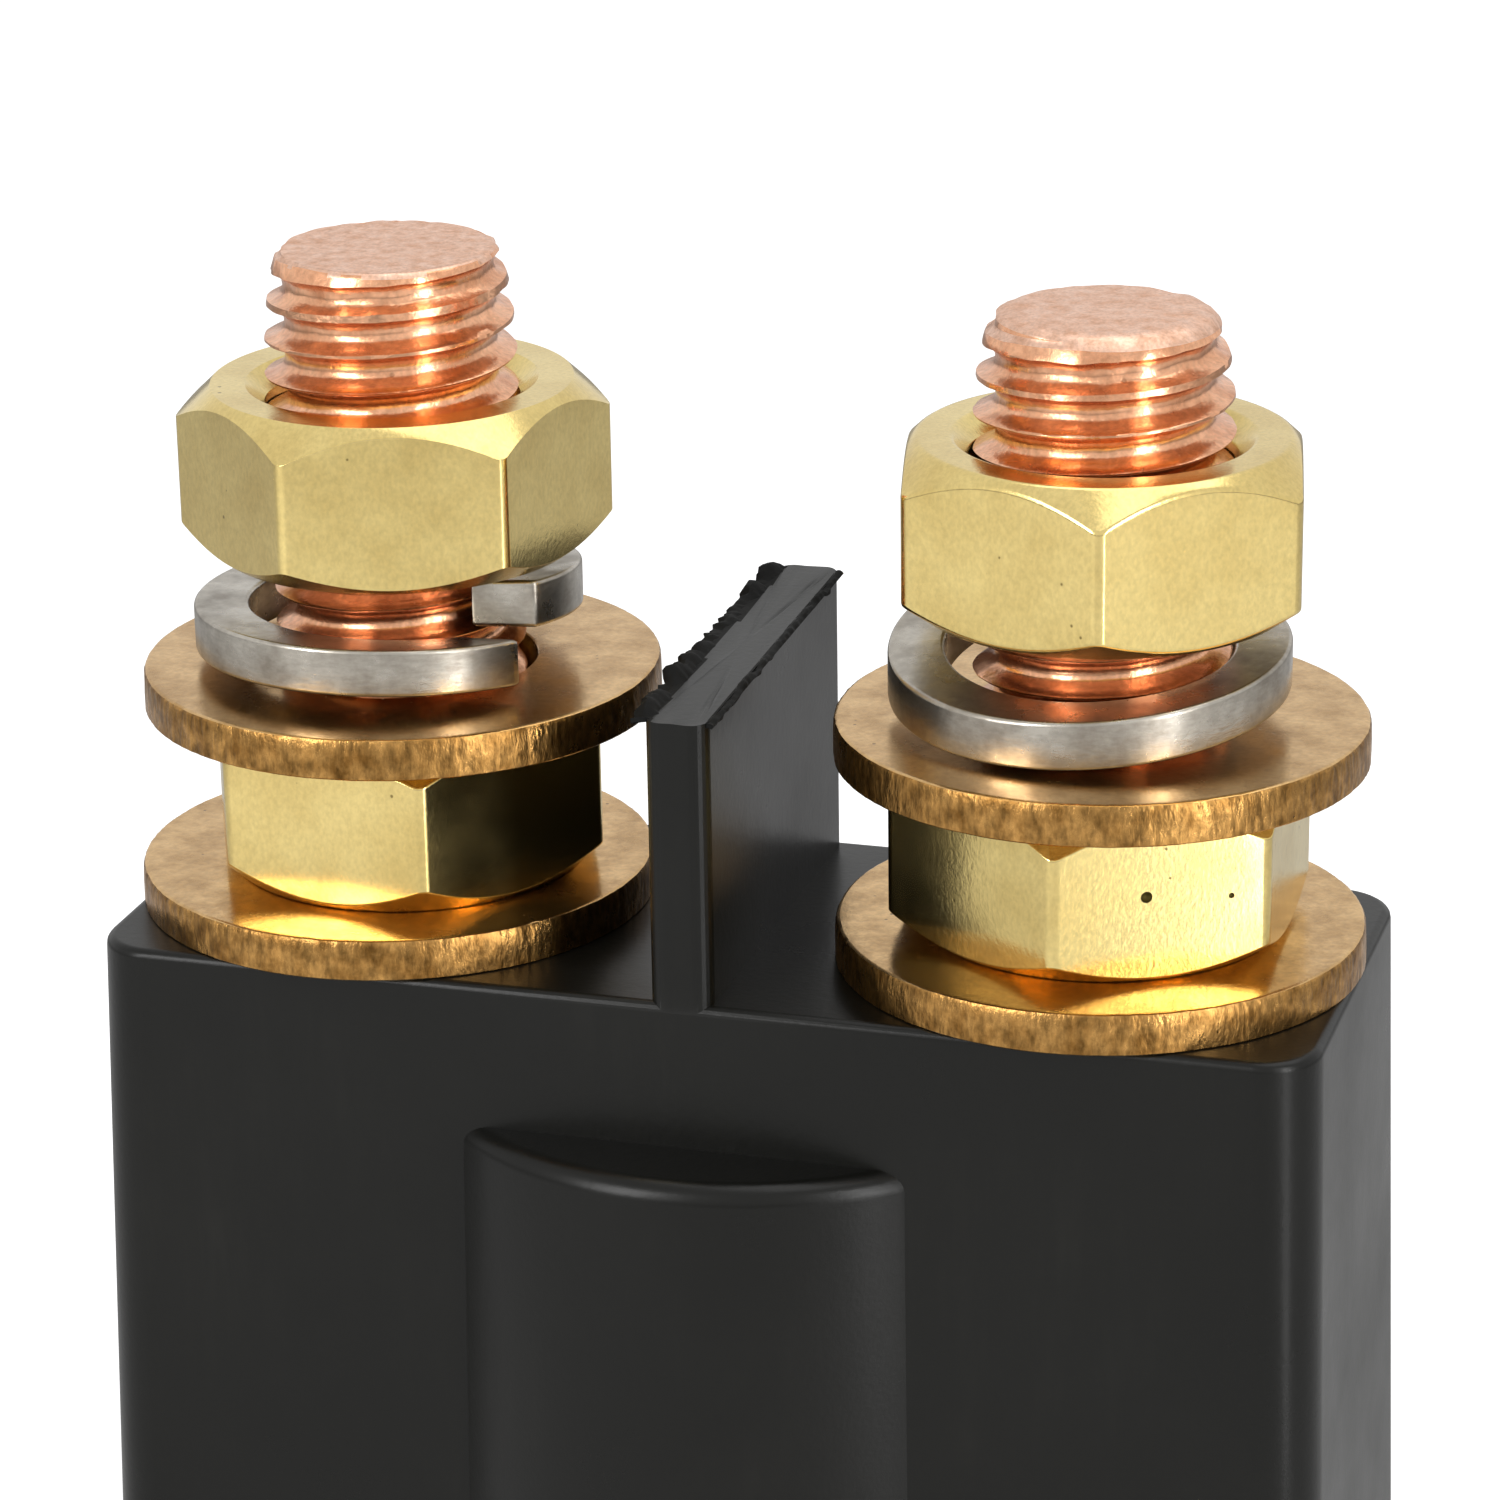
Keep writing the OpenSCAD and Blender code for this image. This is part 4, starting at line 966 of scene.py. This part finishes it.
class RELAY_OT_cover(bpy.types.Operator):
    """Make the moulded contact cover with its boss and its cut-down barrier"""

    bl_idname = "relay.cover"
    bl_label = "Contact cover"

    def execute(self, context):
        body = context.scene.relay_body
        low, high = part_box("contact_cover")
        foot, top = low.z, body.top_level
        grow = (top - foot) * math.tan(body.draft)
        half_w, half_d = body.top_width / 2, body.top_depth / 2
        cover = block("Cover", (-half_w, -half_d, foot), (half_w, half_d, top), body.corner, 10)
        edit(cover, "EDGE", lambda a, b: min(a.z, b.z) > top - 0.01 * MM)
        bpy.ops.mesh.bevel(offset=body.top_edge, segments=4, affect="EDGES")
        close_edit()
        taper(cover, foot, top, grow)
        columns = self.columns(body, half_w + grow, half_d + grow)

        ledge = top - body.boss_drop
        radius = body.boss_radius
        wide = radius + (ledge - foot) * math.tan(body.draft)
        edge = body.boss_edge
        round_edge = [
            (radius - edge * (1 - math.cos(a)), ledge - edge * (1 - math.sin(a)))
            for a in [math.radians(15 * i) for i in range(7)]
        ]
        boss = turned(
            "Boss", (0, 0, 0), [(0, foot), (wide, foot), *round_edge, (0, ledge)],
            closed=False, steps=128,
        )
        combine(cover, boss, "UNION")
        combine(cover, self.barrier(body, top, high.z), "UNION")

        inner = max(body.corner - body.wall, body.top_edge)
        cavity = block(
            "Cavity", (body.wall - half_w, body.wall - half_d, foot - MM),
            (half_w - body.wall, half_d - body.wall, top - body.roof), inner, 3,
        )
        taper(cavity, foot, top - body.roof, grow)
        bore = turned("BossBore", (0, 0, 0), [
            (0, foot - MM), (wide - body.wall, foot - MM),
            (radius - body.wall, ledge - body.wall), (0, ledge - body.wall),
        ], closed=False)
        combine(cavity, bore, "UNION")
        for x, y in columns:
            deselect()
            bpy.ops.mesh.primitive_cylinder_add(
                vertices=48, radius=body.column / 2, depth=body.column_height + 2 * MM,
                location=(x, y, foot + body.column_height / 2 - MM),
            )
            combine(cavity, named("Column"), "DIFFERENCE")
        combine(cover, cavity, "DIFFERENCE")
        screw_slack, screw_depth, stud_hole = 0.1 * MM, 9 * MM, 6.15 * MM
        holes = [(x, y, foot, body.screw / 2 + screw_slack, screw_depth) for x, y in columns]
        holes += [(terminal_x(side), 0, top - body.roof, stud_hole, body.roof + MM)
                  for side in SIDES]
        for x, y, z, r, tall in holes:
            deselect()
            bpy.ops.mesh.primitive_cylinder_add(
                vertices=64, radius=r, depth=tall + MM, location=(x, y, z + (tall - MM) / 2)
            )
            combine(cover, named("Hole"), "DIFFERENCE")
        clean(cover, 0.003 * MM)
        cover = joined([cover, *self.torn_edges(body, high.z)], "Cover")
        dress(cover, "Moulded Black Compound", "housing", "contact_cover",
              smooth=28)
        # The flash lies at the barrier's top, outside these two lines
        left, right = 0.4 * MM - body.barrier / 2, body.barrier / 2 - 0.1 * MM
        # The flash gets a darker finish: rough where it is torn, and darker partly with painted
        # shade
        paint(cover, "Torn Compound", lambda at, normal: (
            at.z > high.z - 0.6 * MM and (at.x < left or at.x > right)
        ))
        return {"FINISHED"}

    def columns(self, body, half_w, half_d):
        """Centres of the four screw columns, in the corners of the cover's foot."""
        inset = 1.1 * MM + body.column / 2
        return [(sx * (half_w - inset), sy * (half_d - inset)) for sx in (-1, 1) for sy in (-1, 1)]

    def barrier(self, body, top, crest):
        """The barrier, cut down by hand, with a dressed top; its torn flash is made by torn_edges.
        """
        half_t, half_d = body.barrier / 2, body.top_depth / 2
        cut, upright_edge, margin = crest - CUT_BELOW, 0.8 * MM, 0.3 * MM
        wall = block(
            "Barrier", (-half_t, -half_d, top - MM), (half_t, half_d, cut), upright_edge, 6
        )
        edit(wall, "FACE", lambda at, normal: normal.z > 0.9)
        bpy.ops.mesh.inset(thickness=margin)
        close_edit()
        modify(wall, "SUBSURF", levels=3, render_levels=3, subdivision_type="SIMPLE")
        for point in wall.data.vertices:
            if point.co.z > cut - 0.1 * MM:
                wave = noise.noise(Vector((point.co.y / (2.4 * MM), point.co.x / (0.9 * MM), 3)))
                point.co.z += (0.04 * wave - 0.02) * MM + self.rise(point.co.y, half_d)
        return wall

    def rise(self, y, half_d):
        """How much higher the cut runs toward the back."""
        return CUT_RISE * (y + half_d) / (2 * half_d)

    def flash(self, half_t, half_d, cut, width, lift, lean):
        """A torn ribbon of plastic that the cut left standing along the left top edge.

        It stands as high as the lift, and hangs out over the face by the lean."""
        lump_size, tear_size, sunk, thick = 1.5, 0.45, 0.12 * MM, 0.22 * MM
        deselect()
        bpy.ops.mesh.primitive_grid_add(
            x_subdivisions=6, y_subdivisions=150, size=1, location=(-half_t, 0, cut),
        )
        ribbon = named("Flash")
        ribbon.scale = (width, 2 * half_d - 0.9 * MM, 1)
        settle(ribbon)
        for point in ribbon.data.vertices:
            along = point.co.y / MM
            share = (point.co.x + half_t) / width + 0.5
            lump = noise.noise(Vector((along / lump_size, lift / MM * 9, 0)))
            tear = noise.noise(Vector((along / tear_size, share * 2, 4)))
            high = min(max(0.45 + 0.9 * lump, 0), 1) * math.sin(math.pi * min(share * 1.1, 1))
            point.co.z += lift * (high + 0.22 * tear) - sunk + self.rise(point.co.y, half_d)
            point.co.x -= lean * (1 - share) * (0.5 + high) * (1 + tear)
        modify(ribbon, "SOLIDIFY", thickness=thick, offset=-1)
        return clean(ribbon)

    def torn_edges(self, body, crest):
        """The flash on both long edges: tall and ragged on the left, low on the right."""
        half_t, half_d, cut = body.barrier / 2, body.top_depth / 2, crest - CUT_BELOW
        tall = self.flash(half_t, half_d, cut, width=0.95 * MM, lift=0.75 * MM, lean=0.35 * MM)
        short = self.flash(half_t, half_d, cut, width=0.5 * MM, lift=0.28 * MM, lean=0.1 * MM)
        short.data.transform(Matrix.Scale(-1, 4, (1, 0, 0)))
        clean(short)
        return [tall, short]


class RELAY_OT_base(bpy.types.Operator):
    """Make the bracket, the magnet frame and the two plates, with rounded edges"""

    bl_idname = "relay.base"
    bl_label = "Bracket and frame"

    def execute(self, context):
        edge = context.scene.relay_body.plate_edge
        for node, name, material, slot, width in (
            ("mounting_bracket", "Bracket", "Zinc Plated Steel", "zinc_steel", edge),
            ("magnet_frame", "MagnetFrame", "Zinc Plated Steel", "zinc_steel", edge),
            ("pole_plate", "PolePlate", "Zinc Plated Steel", "zinc_steel", edge),
            ("insulating_plate", "InsulatingPlate", "Phenolic Board", "phenolic", edge / 3),
        ):
            piece = merged_copy(node, name)
            soften(piece, width, 2, 40)
            dress(piece, material, "housing", node)
        return {"FINISHED"}


def cross_recess(at, width, depth):
    """A cross-shaped cutter, drawn in towards its tip, for a screw driven from below."""
    arms = []
    for turn in (0, math.pi / 2):
        arm = block("Arm", (-width / 2, -width / 8, -depth), (width / 2, width / 8, depth))
        edit(arm, "FACE", lambda at, normal: normal.z < -0.9)
        bpy.ops.transform.resize(value=(0.45, 0.7, 1))
        close_edit()
        turn_about(arm, (0, 0), turn)
        arms.append(arm)
    cutter = combine(arms[0], arms[1], "UNION")
    cutter.data.transform(Matrix.Rotation(math.pi, 4, "X"))
    cutter.data.transform(Matrix.Translation(at))
    return cutter


class RELAY_OT_screws(bpy.types.Operator):
    """Make the cover's pan-head screws and the bracket's countersunk screws"""

    bl_idname = "relay.screws"
    bl_label = "Screws"

    def execute(self, context):
        low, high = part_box("cover_screws")
        head, tall = 3.2 * MM, 2.2 * MM
        shank = context.scene.relay_body.screw / 2
        at = (high.x - head, high.y - head)
        screw = turned("CoverScrew", (at[0], at[1], low.z), [
            (0, 0), (head * 0.45, 0.04 * MM), (head * 0.75, 0.35 * MM), (head * 0.94, 0.95 * MM),
            (head, 1.5 * MM), (head, tall - 0.1 * MM), (head - 0.1 * MM, tall), (shank, tall),
            (shank, high.z - low.z - MM), (shank - MM * 0.7, high.z - low.z), (0, high.z - low.z),
        ], closed=False, steps=64)
        combine(screw, cross_recess((*at, low.z), width=3.2 * MM, depth=1.4 * MM), "DIFFERENCE")
        self.four(screw, at, "CoverScrews", "cover_screws")

        low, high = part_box("bracket_screws")
        head, shank = 3.8 * MM, 2 * MM
        at = (high.x - head, high.y - head)
        cone = head - shank
        screw = turned("BracketScrew", (at[0], at[1], low.z), [
            (0, 0), (head - 0.12 * MM, 0), (head, 0.12 * MM), (shank, cone),
            (shank, high.z - low.z - 0.3 * MM), (shank - 0.3 * MM, high.z - low.z),
            (0, high.z - low.z),
        ], closed=False, steps=64)
        combine(screw, cross_recess((*at, low.z), width=3.4 * MM, depth=1.5 * MM), "DIFFERENCE")
        self.four(screw, at, "BracketScrews", "bracket_screws")
        return {"FINISHED"}

    def four(self, screw, at, name, node):
        """The screw and its three copies at the corners of a rectangle."""
        settle(screw)
        clean(screw)
        copies = [
            copy_of(screw, f"{name}.{i}", move=(-2 * at[0] * i, -2 * at[1] * j, 0),
                    turn=math.radians(31 * (i + 2 * j)), about=(*at, 0))
            for i, j in ((1, 0), (0, 1), (1, 1))
        ]
        dress(joined([screw, *copies], name), "Zinc Plated Steel", "housing", node)


class RELAY_OT_coil(bpy.types.Operator):
    """Make the bobbin and the taped coil"""

    bl_idname = "relay.coil"
    bl_label = "Coil"

    def execute(self, context):
        bobbin = merged_copy("coil_bobbin", "Bobbin")
        soften(bobbin, 0.25 * MM, 2, 40)
        dress(bobbin, "Black Nylon", "housing", "coil_bobbin")

        low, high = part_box("coil_wrap")
        rounds, thick, groove, lead_hole = 17, 0.8 * MM, 0.07 * MM, 0.7 * MM
        out = high.x
        inner = out - thick
        step = (high.z - low.z) / rounds
        outline = [(inner, 0), (out - 0.1 * MM, 0)]
        for i in range(rounds):
            outline += [(out, step * (i + 0.12)), (out, step * (i + 0.88)),
                        (out - groove, step * (i + 1))]
        outline += [(inner, high.z - low.z)]
        wrap = turned("CoilTape", (0, 0, low.z), outline, steps=128)
        for side in SIDES:
            low_stud, high_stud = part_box("coil_stud_" + side)
            x, z = (low_stud.x + high_stud.x) / 2, (low_stud.z + high_stud.z) / 2
            deselect()
            bpy.ops.mesh.primitive_cylinder_add(
                vertices=24, radius=lead_hole, depth=20 * MM, location=(x, -18 * MM, z),
                rotation=(math.pi / 2, 0, 0),
            )
            combine(wrap, named("LeadHole"), "DIFFERENCE")
        dress(wrap, "Coil Tape", "housing", "coil_wrap")
        return {"FINISHED"}


class RELAY_OT_coil_terminals(bpy.types.Operator):
    """Make the two small brass coil studs with their nuts and washers"""

    bl_idname = "relay.coil_terminals"
    bl_label = "Coil terminals"

    def execute(self, context):
        sizes = context.scene.relay_hardware
        radius = sizes.coil_stud_radius
        low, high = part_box("coil_nuts")
        nut = hex_nut(
            "CoilNut.left", across=7 * MM, height=high.y - low.y, ring=6.7 * MM,
            foot=sizes.nut_foot, top=sizes.nut_top, bore=radius + 0.05 * MM, sink=0.3 * MM,
            edge=0.1 * MM, centre=(0, 0, -high.y), turn=0,
        )
        low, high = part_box("coil_washers")
        hole, flat, out, thick = 2.15 * MM, 4.4 * MM, 4.5 * MM, high.y - low.y
        washer = turned("CoilWasher.left", (0, 0, -high.y), [
            (hole, 0), (flat, 0), (out, 0.1 * MM), (out, 0.7 * MM), (flat, thick), (hole, thick),
        ], steps=64)
        nuts = [settle(nut), copy_of(nut, "CoilNut.right")]
        washers = [settle(washer), copy_of(washer, "CoilWasher.right")]
        lay = Matrix.Rotation(math.pi / 2, 4, "X")
        for i, side in enumerate(SIDES):
            node = "coil_stud_" + side
            low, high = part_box(node)
            place = Matrix.Translation(((low.x + high.x) / 2, 0, (low.z + high.z) / 2)) @ lay
            front, back, head = -low.y, -high.y, (high.x - low.x) / 2
            stud = threaded_bar(
                f"CoilStud.{side}", (0, 0), back + 1.5 * MM, front + MM, radius, 0.36 * MM,
                sizes.coil_pitch, steps=40,
            )
            blank = turned("Blank", (0, 0, 0), [
                (0, back), (radius + MM, back), (radius + MM, front - MM),
                (radius, front - 0.6 * MM), (radius - 0.5 * MM, front), (0, front),
            ], closed=False, steps=48)
            combine(stud, blank, "INTERSECT")
            flange = turned("Flange", (0, 0, back), [
                (0, 0), (head - 0.2 * MM, 0), (head, 0.2 * MM), (head, 1.8 * MM),
                (head - 0.2 * MM, 2 * MM), (0, 2 * MM),
            ], closed=False, steps=48)
            combine(stud, flange, "UNION")
            stud.data.transform(place)
            dress(clean(stud), "Polished Brass", "housing", node, smooth=45)
            nuts[i].data.transform(place)
            washers[i].data.transform(place)
        dress(joined(nuts, "CoilNuts"), "Polished Brass", "housing", "coil_nuts")
        dress(joined(washers, "CoilWashers"), "Zinc Plated Steel", "housing",
              "coil_washers")
        return {"FINISHED"}


class RELAY_OT_springs(bpy.types.Operator):
    """Make the return spring and the contact spring"""

    bl_idname = "relay.springs"
    bl_label = "Springs"

    def execute(self, context):
        # Node, piece, wire, coils, body, the end that stays (1 is the upper), and the pressed
        # length over the free one
        for node, name, wire, curls, body, anchor, keep in (
            ("return_spring", "ReturnSpring", 0.8 * MM, 9, "housing", 1, 14 / 18),
            ("contact_spring", "ContactSpring", 1.2 * MM, 5, "armature", 0, 10.6 / 11.6),
        ):
            low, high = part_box(node)
            mean = high.x - wire / 2
            tall = high.z - low.z
            section = [
                (mean + wire / 2 * math.cos(a), wire / 2 + wire / 2 * math.sin(a))
                for a in [math.radians(30 * i) for i in range(12)]
            ]
            spring = wound(
                name, (0, 0, low.z), section, True, (tall - wire) / curls, curls, steps=32
            )
            edit(spring, "VERT", lambda co: True)
            bpy.ops.mesh.fill_holes(sides=12)
            close_edit()
            clean(spring)
            dress(spring, "Spring Steel", body, node, smooth=60)
            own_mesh(spring)
        return {"FINISHED"}


class RELAY_OT_inner_pieces(bpy.types.Operator):
    """Give the pieces inside the relay their finishes"""

    bl_idname = "relay.inner_pieces"
    bl_label = "Inner pieces"

    def execute(self, context):
        for material, nodes in (
            ("Turned Iron", ("fixed_core", "plunger")),
            ("Zinc Plated Steel", ("push_rod",)),
            ("Spring Steel", ("rod_clip",)),
            ("Polished Brass", ("guide_tube",)),
            ("Stop Rubber", ("plunger_stop",)),
            ("Natural Nylon", ("spring_seat", "cap_washer")),
            ("Enamelled Wire", ("coil_winding",)),
            ("Rolled Copper", ("contact_bridge", "coil_leads")),
            ("Contact Silver", ("fixed_tip_left", "fixed_tip_right", "moving_tips")),
        ):
            for node in nodes:
                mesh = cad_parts[node].data
                mesh.materials.clear()
                mesh.materials.append(finish(material))
        return {"FINISHED"}


# The lamps by the name of their power: place, width and height in metres
LAMPS = (
    ("Key", (-0.3, -0.52, 0.36), 0.2, 0.4),
    ("Fill", (0.47, -0.32, 0.26), 0.05, 0.5),
    ("Strip", (0.16, -0.102, 0.065), 0.014, 0.12),
    ("Top", (0.1, 0.1, 0.6), 0.5, 0.4),
)
LAMP_AIM = Vector((0, 0, 0.09))
WORLD_AS_LIGHT = 0.3
WORLD_IN_METAL = 0.88


class RELAY_OT_stage(bpy.types.Operator):
    """Set the floor, the lamps, the white surroundings and the camera"""

    bl_idname = "relay.stage"
    bl_label = "Stage"

    def execute(self, context):
        stage = context.scene.relay_stage
        self.floor(stage)
        self.surroundings(context.scene)
        for name, at, wide, tall in LAMPS:
            self.lamp(name, getattr(stage, name.lower()), at, wide, tall)
        self.camera(context.scene, stage)
        context.scene.view_settings.view_transform = "Standard"
        return {"FINISHED"}

    def floor(self, stage):
        """A wide pale floor, lit as any surface, that the camera sees lifted to white.

        The lift is low beside the relay, so that its shadow stays, and full farther out."""
        near, far = 0.06, 0.2
        deselect()
        bpy.ops.mesh.primitive_plane_add(size=8, location=(0, 0, -0.02 * MM))
        ground = named("Floor")
        material, tree, place = finish_material("Matt White Floor")
        seen = add_node(tree, "LightPath").outputs["Is Camera Ray"]
        lit = add_node(tree, "BsdfDiffuse", {"Color": rgba(stage.floor)}).outputs["BSDF"]
        away = add_node(tree, "VectorMath", {0: place}, operation="LENGTH").outputs["Value"]
        most = add_node(tree, "MapRange", {
            "Value": away, "From Min": near, "From Max": far, "To Min": 0.25, "To Max": 0.75,
        }).outputs["Result"]
        lift = add_node(tree, "Math", {0: seen, 1: most}, operation="MULTIPLY").outputs[0]
        glow = add_node(tree, "Emission", {"Strength": lift}).outputs["Emission"]
        both = add_node(tree, "AddShader", {0: lit, 1: glow}).outputs["Shader"]
        add_node(tree, "OutputMaterial", {"Surface": both})
        ground.data.materials.append(material)
        settle(ground)

    def surroundings(self, scene):
        """White all round where it is seen, a little less in reflections, and softer as light."""
        scene.world = bpy.data.worlds.new("White Room")
        scene.world.use_nodes = True
        tree = scene.world.node_tree
        tree.nodes.clear()
        path = add_node(tree, "LightPath")
        strength = WORLD_AS_LIGHT
        for ray, level in (("Camera", 1), ("Transmission", 1), ("Glossy", WORLD_IN_METAL)):
            strength = add_node(tree, "Math", {
                0: path.outputs[f"Is {ray} Ray"], 1: level - WORLD_AS_LIGHT, 2: strength,
            }, operation="MULTIPLY_ADD").outputs[0]
        sky = add_node(tree, "Background", {
            "Color": rgba((1, 1, 1)), "Strength": strength,
        }).outputs["Background"]
        add_node(tree, "OutputWorld", {"Surface": sky})

    def lamp(self, name, watts, at, wide, tall):
        """A soft rectangular lamp that faces the studs."""
        data = bpy.data.lights.new(name, "AREA")
        data.shape = "RECTANGLE"
        data.size, data.size_y = wide, tall
        data.energy = watts
        made = bpy.data.objects.new(name, data)
        bpy.context.scene.collection.objects.link(made)
        made.location = at
        made.visible_camera = False
        made.rotation_euler = (LAMP_AIM - Vector(at)).to_track_quat("-Z", "Y").to_euler()

    def camera(self, scene, stage):
        """The camera of the photograph, placed by angles round the middle of the top face."""
        az, el, roll = stage.azimuth, stage.elevation, stage.roll
        back = Vector((math.sin(az) * math.cos(el), -math.cos(az) * math.cos(el), math.sin(el)))
        right = Vector((math.cos(az), math.sin(az), 0))
        up = back.cross(right)
        place = right * stage.shift_right + up * stage.shift_up + back * stage.distance
        place += AXIS * scene.relay_body.top_level
        rolled_right = right * math.cos(roll) + up * math.sin(roll)
        rolled_up = up * math.cos(roll) - right * math.sin(roll)
        data = bpy.data.cameras.new("Camera")
        data.sensor_width, data.lens = 36, stage.lens
        data.clip_start, data.clip_end = 0.01, 20
        made = bpy.data.objects.new("Camera", data)
        scene.collection.objects.link(made)
        turn = Matrix((rolled_right, rolled_up, back)).transposed().to_4x4()
        made.matrix_world = Matrix.Translation(place) @ turn
        scene.camera = made


class RELAY_PT_panel(bpy.types.Panel):
    """The relay's sizes, colours and making steps"""

    bl_idname = "RELAY_PT_panel"
    bl_label = "Battery Isolator Relay"
    bl_space_type = "VIEW_3D"
    bl_region_type = "UI"
    bl_category = "Relay"

    def draw(self, context):
        layout = self.layout
        for name in GROUPS.values():
            box = layout.box()
            values = getattr(context.scene, name)
            for key in values.bl_rna.properties.keys():
                if key not in ("rna_type", "name"):
                    box.prop(values, key)
        for step in STEPS:
            layout.operator(step.bl_idname)


GROUPS = {
    RELAY_PG_hardware: "relay_hardware",
    RELAY_PG_body: "relay_body",
    RELAY_PG_colours: "relay_colours",
    RELAY_PG_stage: "relay_stage",
}

STEPS = (
    RELAY_OT_stage,
    RELAY_OT_studs,
    RELAY_OT_nuts,
    RELAY_OT_flat_washers,
    RELAY_OT_spring_washers,
    RELAY_OT_cover,
    RELAY_OT_base,
    RELAY_OT_screws,
    RELAY_OT_coil,
    RELAY_OT_coil_terminals,
    RELAY_OT_springs,
    RELAY_OT_inner_pieces,
)


def register():
    """Adds the groups, the operators and the panel to Blender."""
    for group, name in GROUPS.items():
        bpy.utils.register_class(group)
        setattr(bpy.types.Scene, name, bpy.props.PointerProperty(type=group))
    for step in STEPS:
        bpy.utils.register_class(step)
    bpy.utils.register_class(RELAY_PT_panel)


def unregister():
    """Takes them out again."""
    bpy.utils.unregister_class(RELAY_PT_panel)
    for step in reversed(STEPS):
        bpy.utils.unregister_class(step)
    for group, name in GROUPS.items():
        delattr(bpy.types.Scene, name)
        bpy.utils.unregister_class(group)


def main():
    """Makes the relay and its stage."""
    register()
    for step in STEPS:
        group, name = step.bl_idname.split(".")
        getattr(getattr(bpy.ops, group), name)()


if __name__ == "__main__":
    main()
